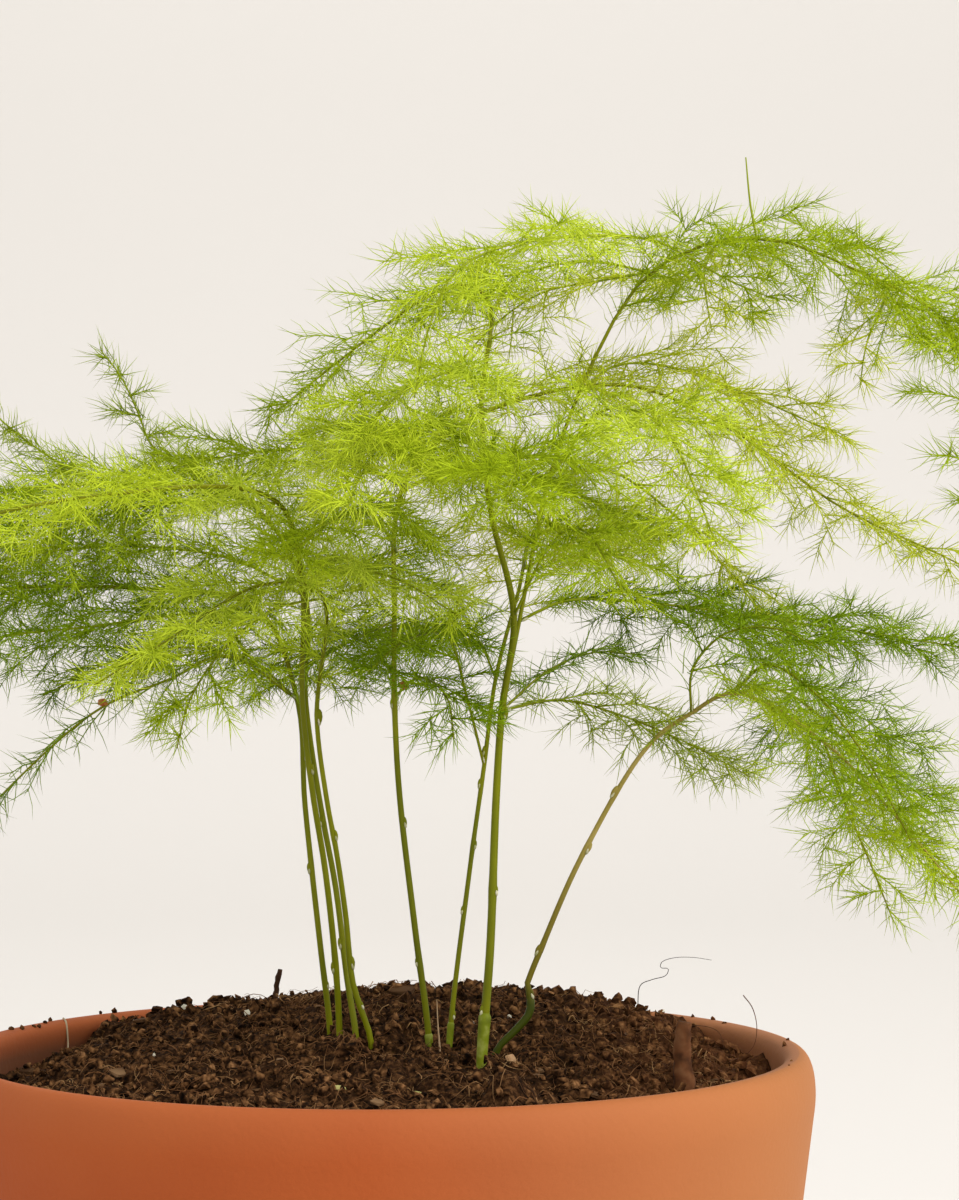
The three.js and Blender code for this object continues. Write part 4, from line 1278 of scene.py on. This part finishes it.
# %% Dead wood
DEAD_WOOD = [(0.025, 0.012, 0.007), (0.07, 0.032, 0.016), (0.13, 0.065, 0.035)]
dead_wood = finish_of("dead_wood", DEAD_WOOD, 300, 0.85, 0.1)
BROWN_WOOD = [(0.05, 0.02, 0.009), (0.15, 0.058, 0.023), (0.24, 0.11, 0.05)]
brown_wood = finish_of("brown_wood", BROWN_WOOD, 300, 0.85, 0.1)
RAGGED_PER_MM = 1.3
RAGGED_SEED = 5
dead_rod = rod_stamp(rings=24, sides=9)
noise.seed_set(RAGGED_SEED)  # without a seed, the clock would shift the vector noise


def weathered(path, radius, taper, roughness):
    """A dead stem: a rod with a ragged surface and a broken tip."""
    bm = bmesh.new()
    dead_rod.print_along(bm, path, lambda share: radius * (1 - taper * share))
    for vertex in bm.verts:
        vertex.co += noise.noise_vector(vertex.co * RAGGED_PER_MM) * roughness
    return bm


twig_path = Path([
    (-21.8, 56, 118), (-21.8, 56, 127), (-21.5, 56, 131), (-21.1, 56, 134.5), (-20.4, 55.8, 137.6),
])
stub_path = Path([(51.5, -22, 116), (51.5, -22, 126), (51, -22, 132), (51.3, -22.5, 137.2)])
add_piece("dead_twig", "wood", weathered(twig_path, radius=0.75, taper=0.35, roughness=0.25), dead_wood)
add_piece("dead_stub", "wood", weathered(stub_path, radius=2.5, taper=0.52, roughness=0.4), brown_wood)

# %% [markdown]
# ## The studio
#
# The plant stands on a pale floor that curves up into a pale wall, so that no edge shows behind it.
# Both are one sheet, a section swept sideways. The light is soft: an even glow from all round, a large
# lamp high on the right, and one above that only brightens the wall. The camera looks straight ahead
# from a little over half a metre, at the height of the plumes.

# %% Floor and wall
WALL_Y = 2.2  # metres, far enough for a camera to walk round the plant
FLOOR_FRONT_Y = -3
SHEET_WIDTH = 6
WALL_HEIGHT = 3
CREAM = (0.75, 0.733, 0.712)


def backdrop():
    """The sheet that is floor and wall."""
    bm = bmesh.new()
    curve = [Vector((0, y, z)) for y, z in ((1.6, 0), (2, 0), (WALL_Y, 0.15), (WALL_Y, 0.6))]
    front, top = Vector((0, FLOOR_FRONT_Y, 0)), Vector((0, WALL_Y, WALL_HEIGHT))
    section = [front, *interpolate_bezier(*curve, 24), top]
    corners = [bm.verts.new(place - Vector((SHEET_WIDTH / 2, 0, 0))) for place in section]
    edges = [bm.edges.new(pair) for pair in zip(corners, corners[1:])]
    swept = bmesh.ops.extrude_edge_only(bm, edges=edges)["geom"]
    moved = [part for part in swept if isinstance(part, bmesh.types.BMVert)]
    bmesh.ops.translate(bm, vec=(SHEET_WIDTH, 0, 0), verts=moved)
    bmesh.ops.recalc_face_normals(bm, faces=bm.faces)
    sheet = object_of(bm, "backdrop")
    sheet.data.shade_smooth()
    return sheet


cream = bpy.data.materials.new("cream_paper")
cream.use_nodes = True
cream.node_tree.nodes["Principled BSDF"].inputs["Base Color"].default_value = (*CREAM, 1)
cream.node_tree.nodes["Principled BSDF"].inputs["Roughness"].default_value = 0.9
floor = backdrop()
floor.data.materials.append(cream)


# %% Light
def lamp(name, place, aim, size, power):
    """A round lamp of warm white light, in metres and watts."""
    light = bpy.data.lights.new(name, "AREA")
    light.shape = "DISK"
    light.size = size
    light.energy = power
    light.color = WARM_WHITE
    stand = bpy.data.objects.new(name, light)
    stand.location = place
    stand.rotation_euler = (Vector(aim) - Vector(place)).to_track_quat("-Z", "Y").to_euler()
    bpy.context.scene.collection.objects.link(stand)


WARM_WHITE = (1, 0.98, 0.95)
GLOW = (1, 0.97, 0.93)
GLOW_STRENGTH = 0.95
lamp("window", (0.9, -0.5, 0.9), (0, 0, 0.18), size=0.8, power=12)
lamp("wall_wash", (0, 1.05, 1.75), (0, WALL_Y, 0.5), size=1.6, power=7.3)

sky = bpy.data.worlds.new("studio")
sky.use_nodes = True
sky.node_tree.nodes["Background"].inputs["Color"].default_value = (*GLOW, 1)
sky.node_tree.nodes["Background"].inputs["Strength"].default_value = GLOW_STRENGTH
bpy.context.scene.world = sky
bpy.context.scene.view_settings.view_transform = "Standard"

# %% Camera
EYE = (0.0172, -0.614, 0.2103)
LENS = 106.44  # millimetres
SENSOR = 36
LOOKS_DOWN = 0.2535  # degrees
NEAR_CLIP = 0.05
camera = bpy.data.objects.new("camera", bpy.data.cameras.new("camera"))
camera.data.sensor_width = SENSOR
camera.data.lens = LENS
camera.data.clip_start = NEAR_CLIP
camera.location = EYE
camera.rotation_euler = (math.radians(90 - LOOKS_DOWN), 0, 0)
bpy.context.scene.collection.objects.link(camera)
bpy.context.scene.camera = camera

# %% [markdown]
# ## Triangles
#
# The last cell prints how many triangles all the pieces have. The visual model has to stay inside
# the box of the solid one.

# %% Count the triangles
print("triangles in all:", triangles_in_all)
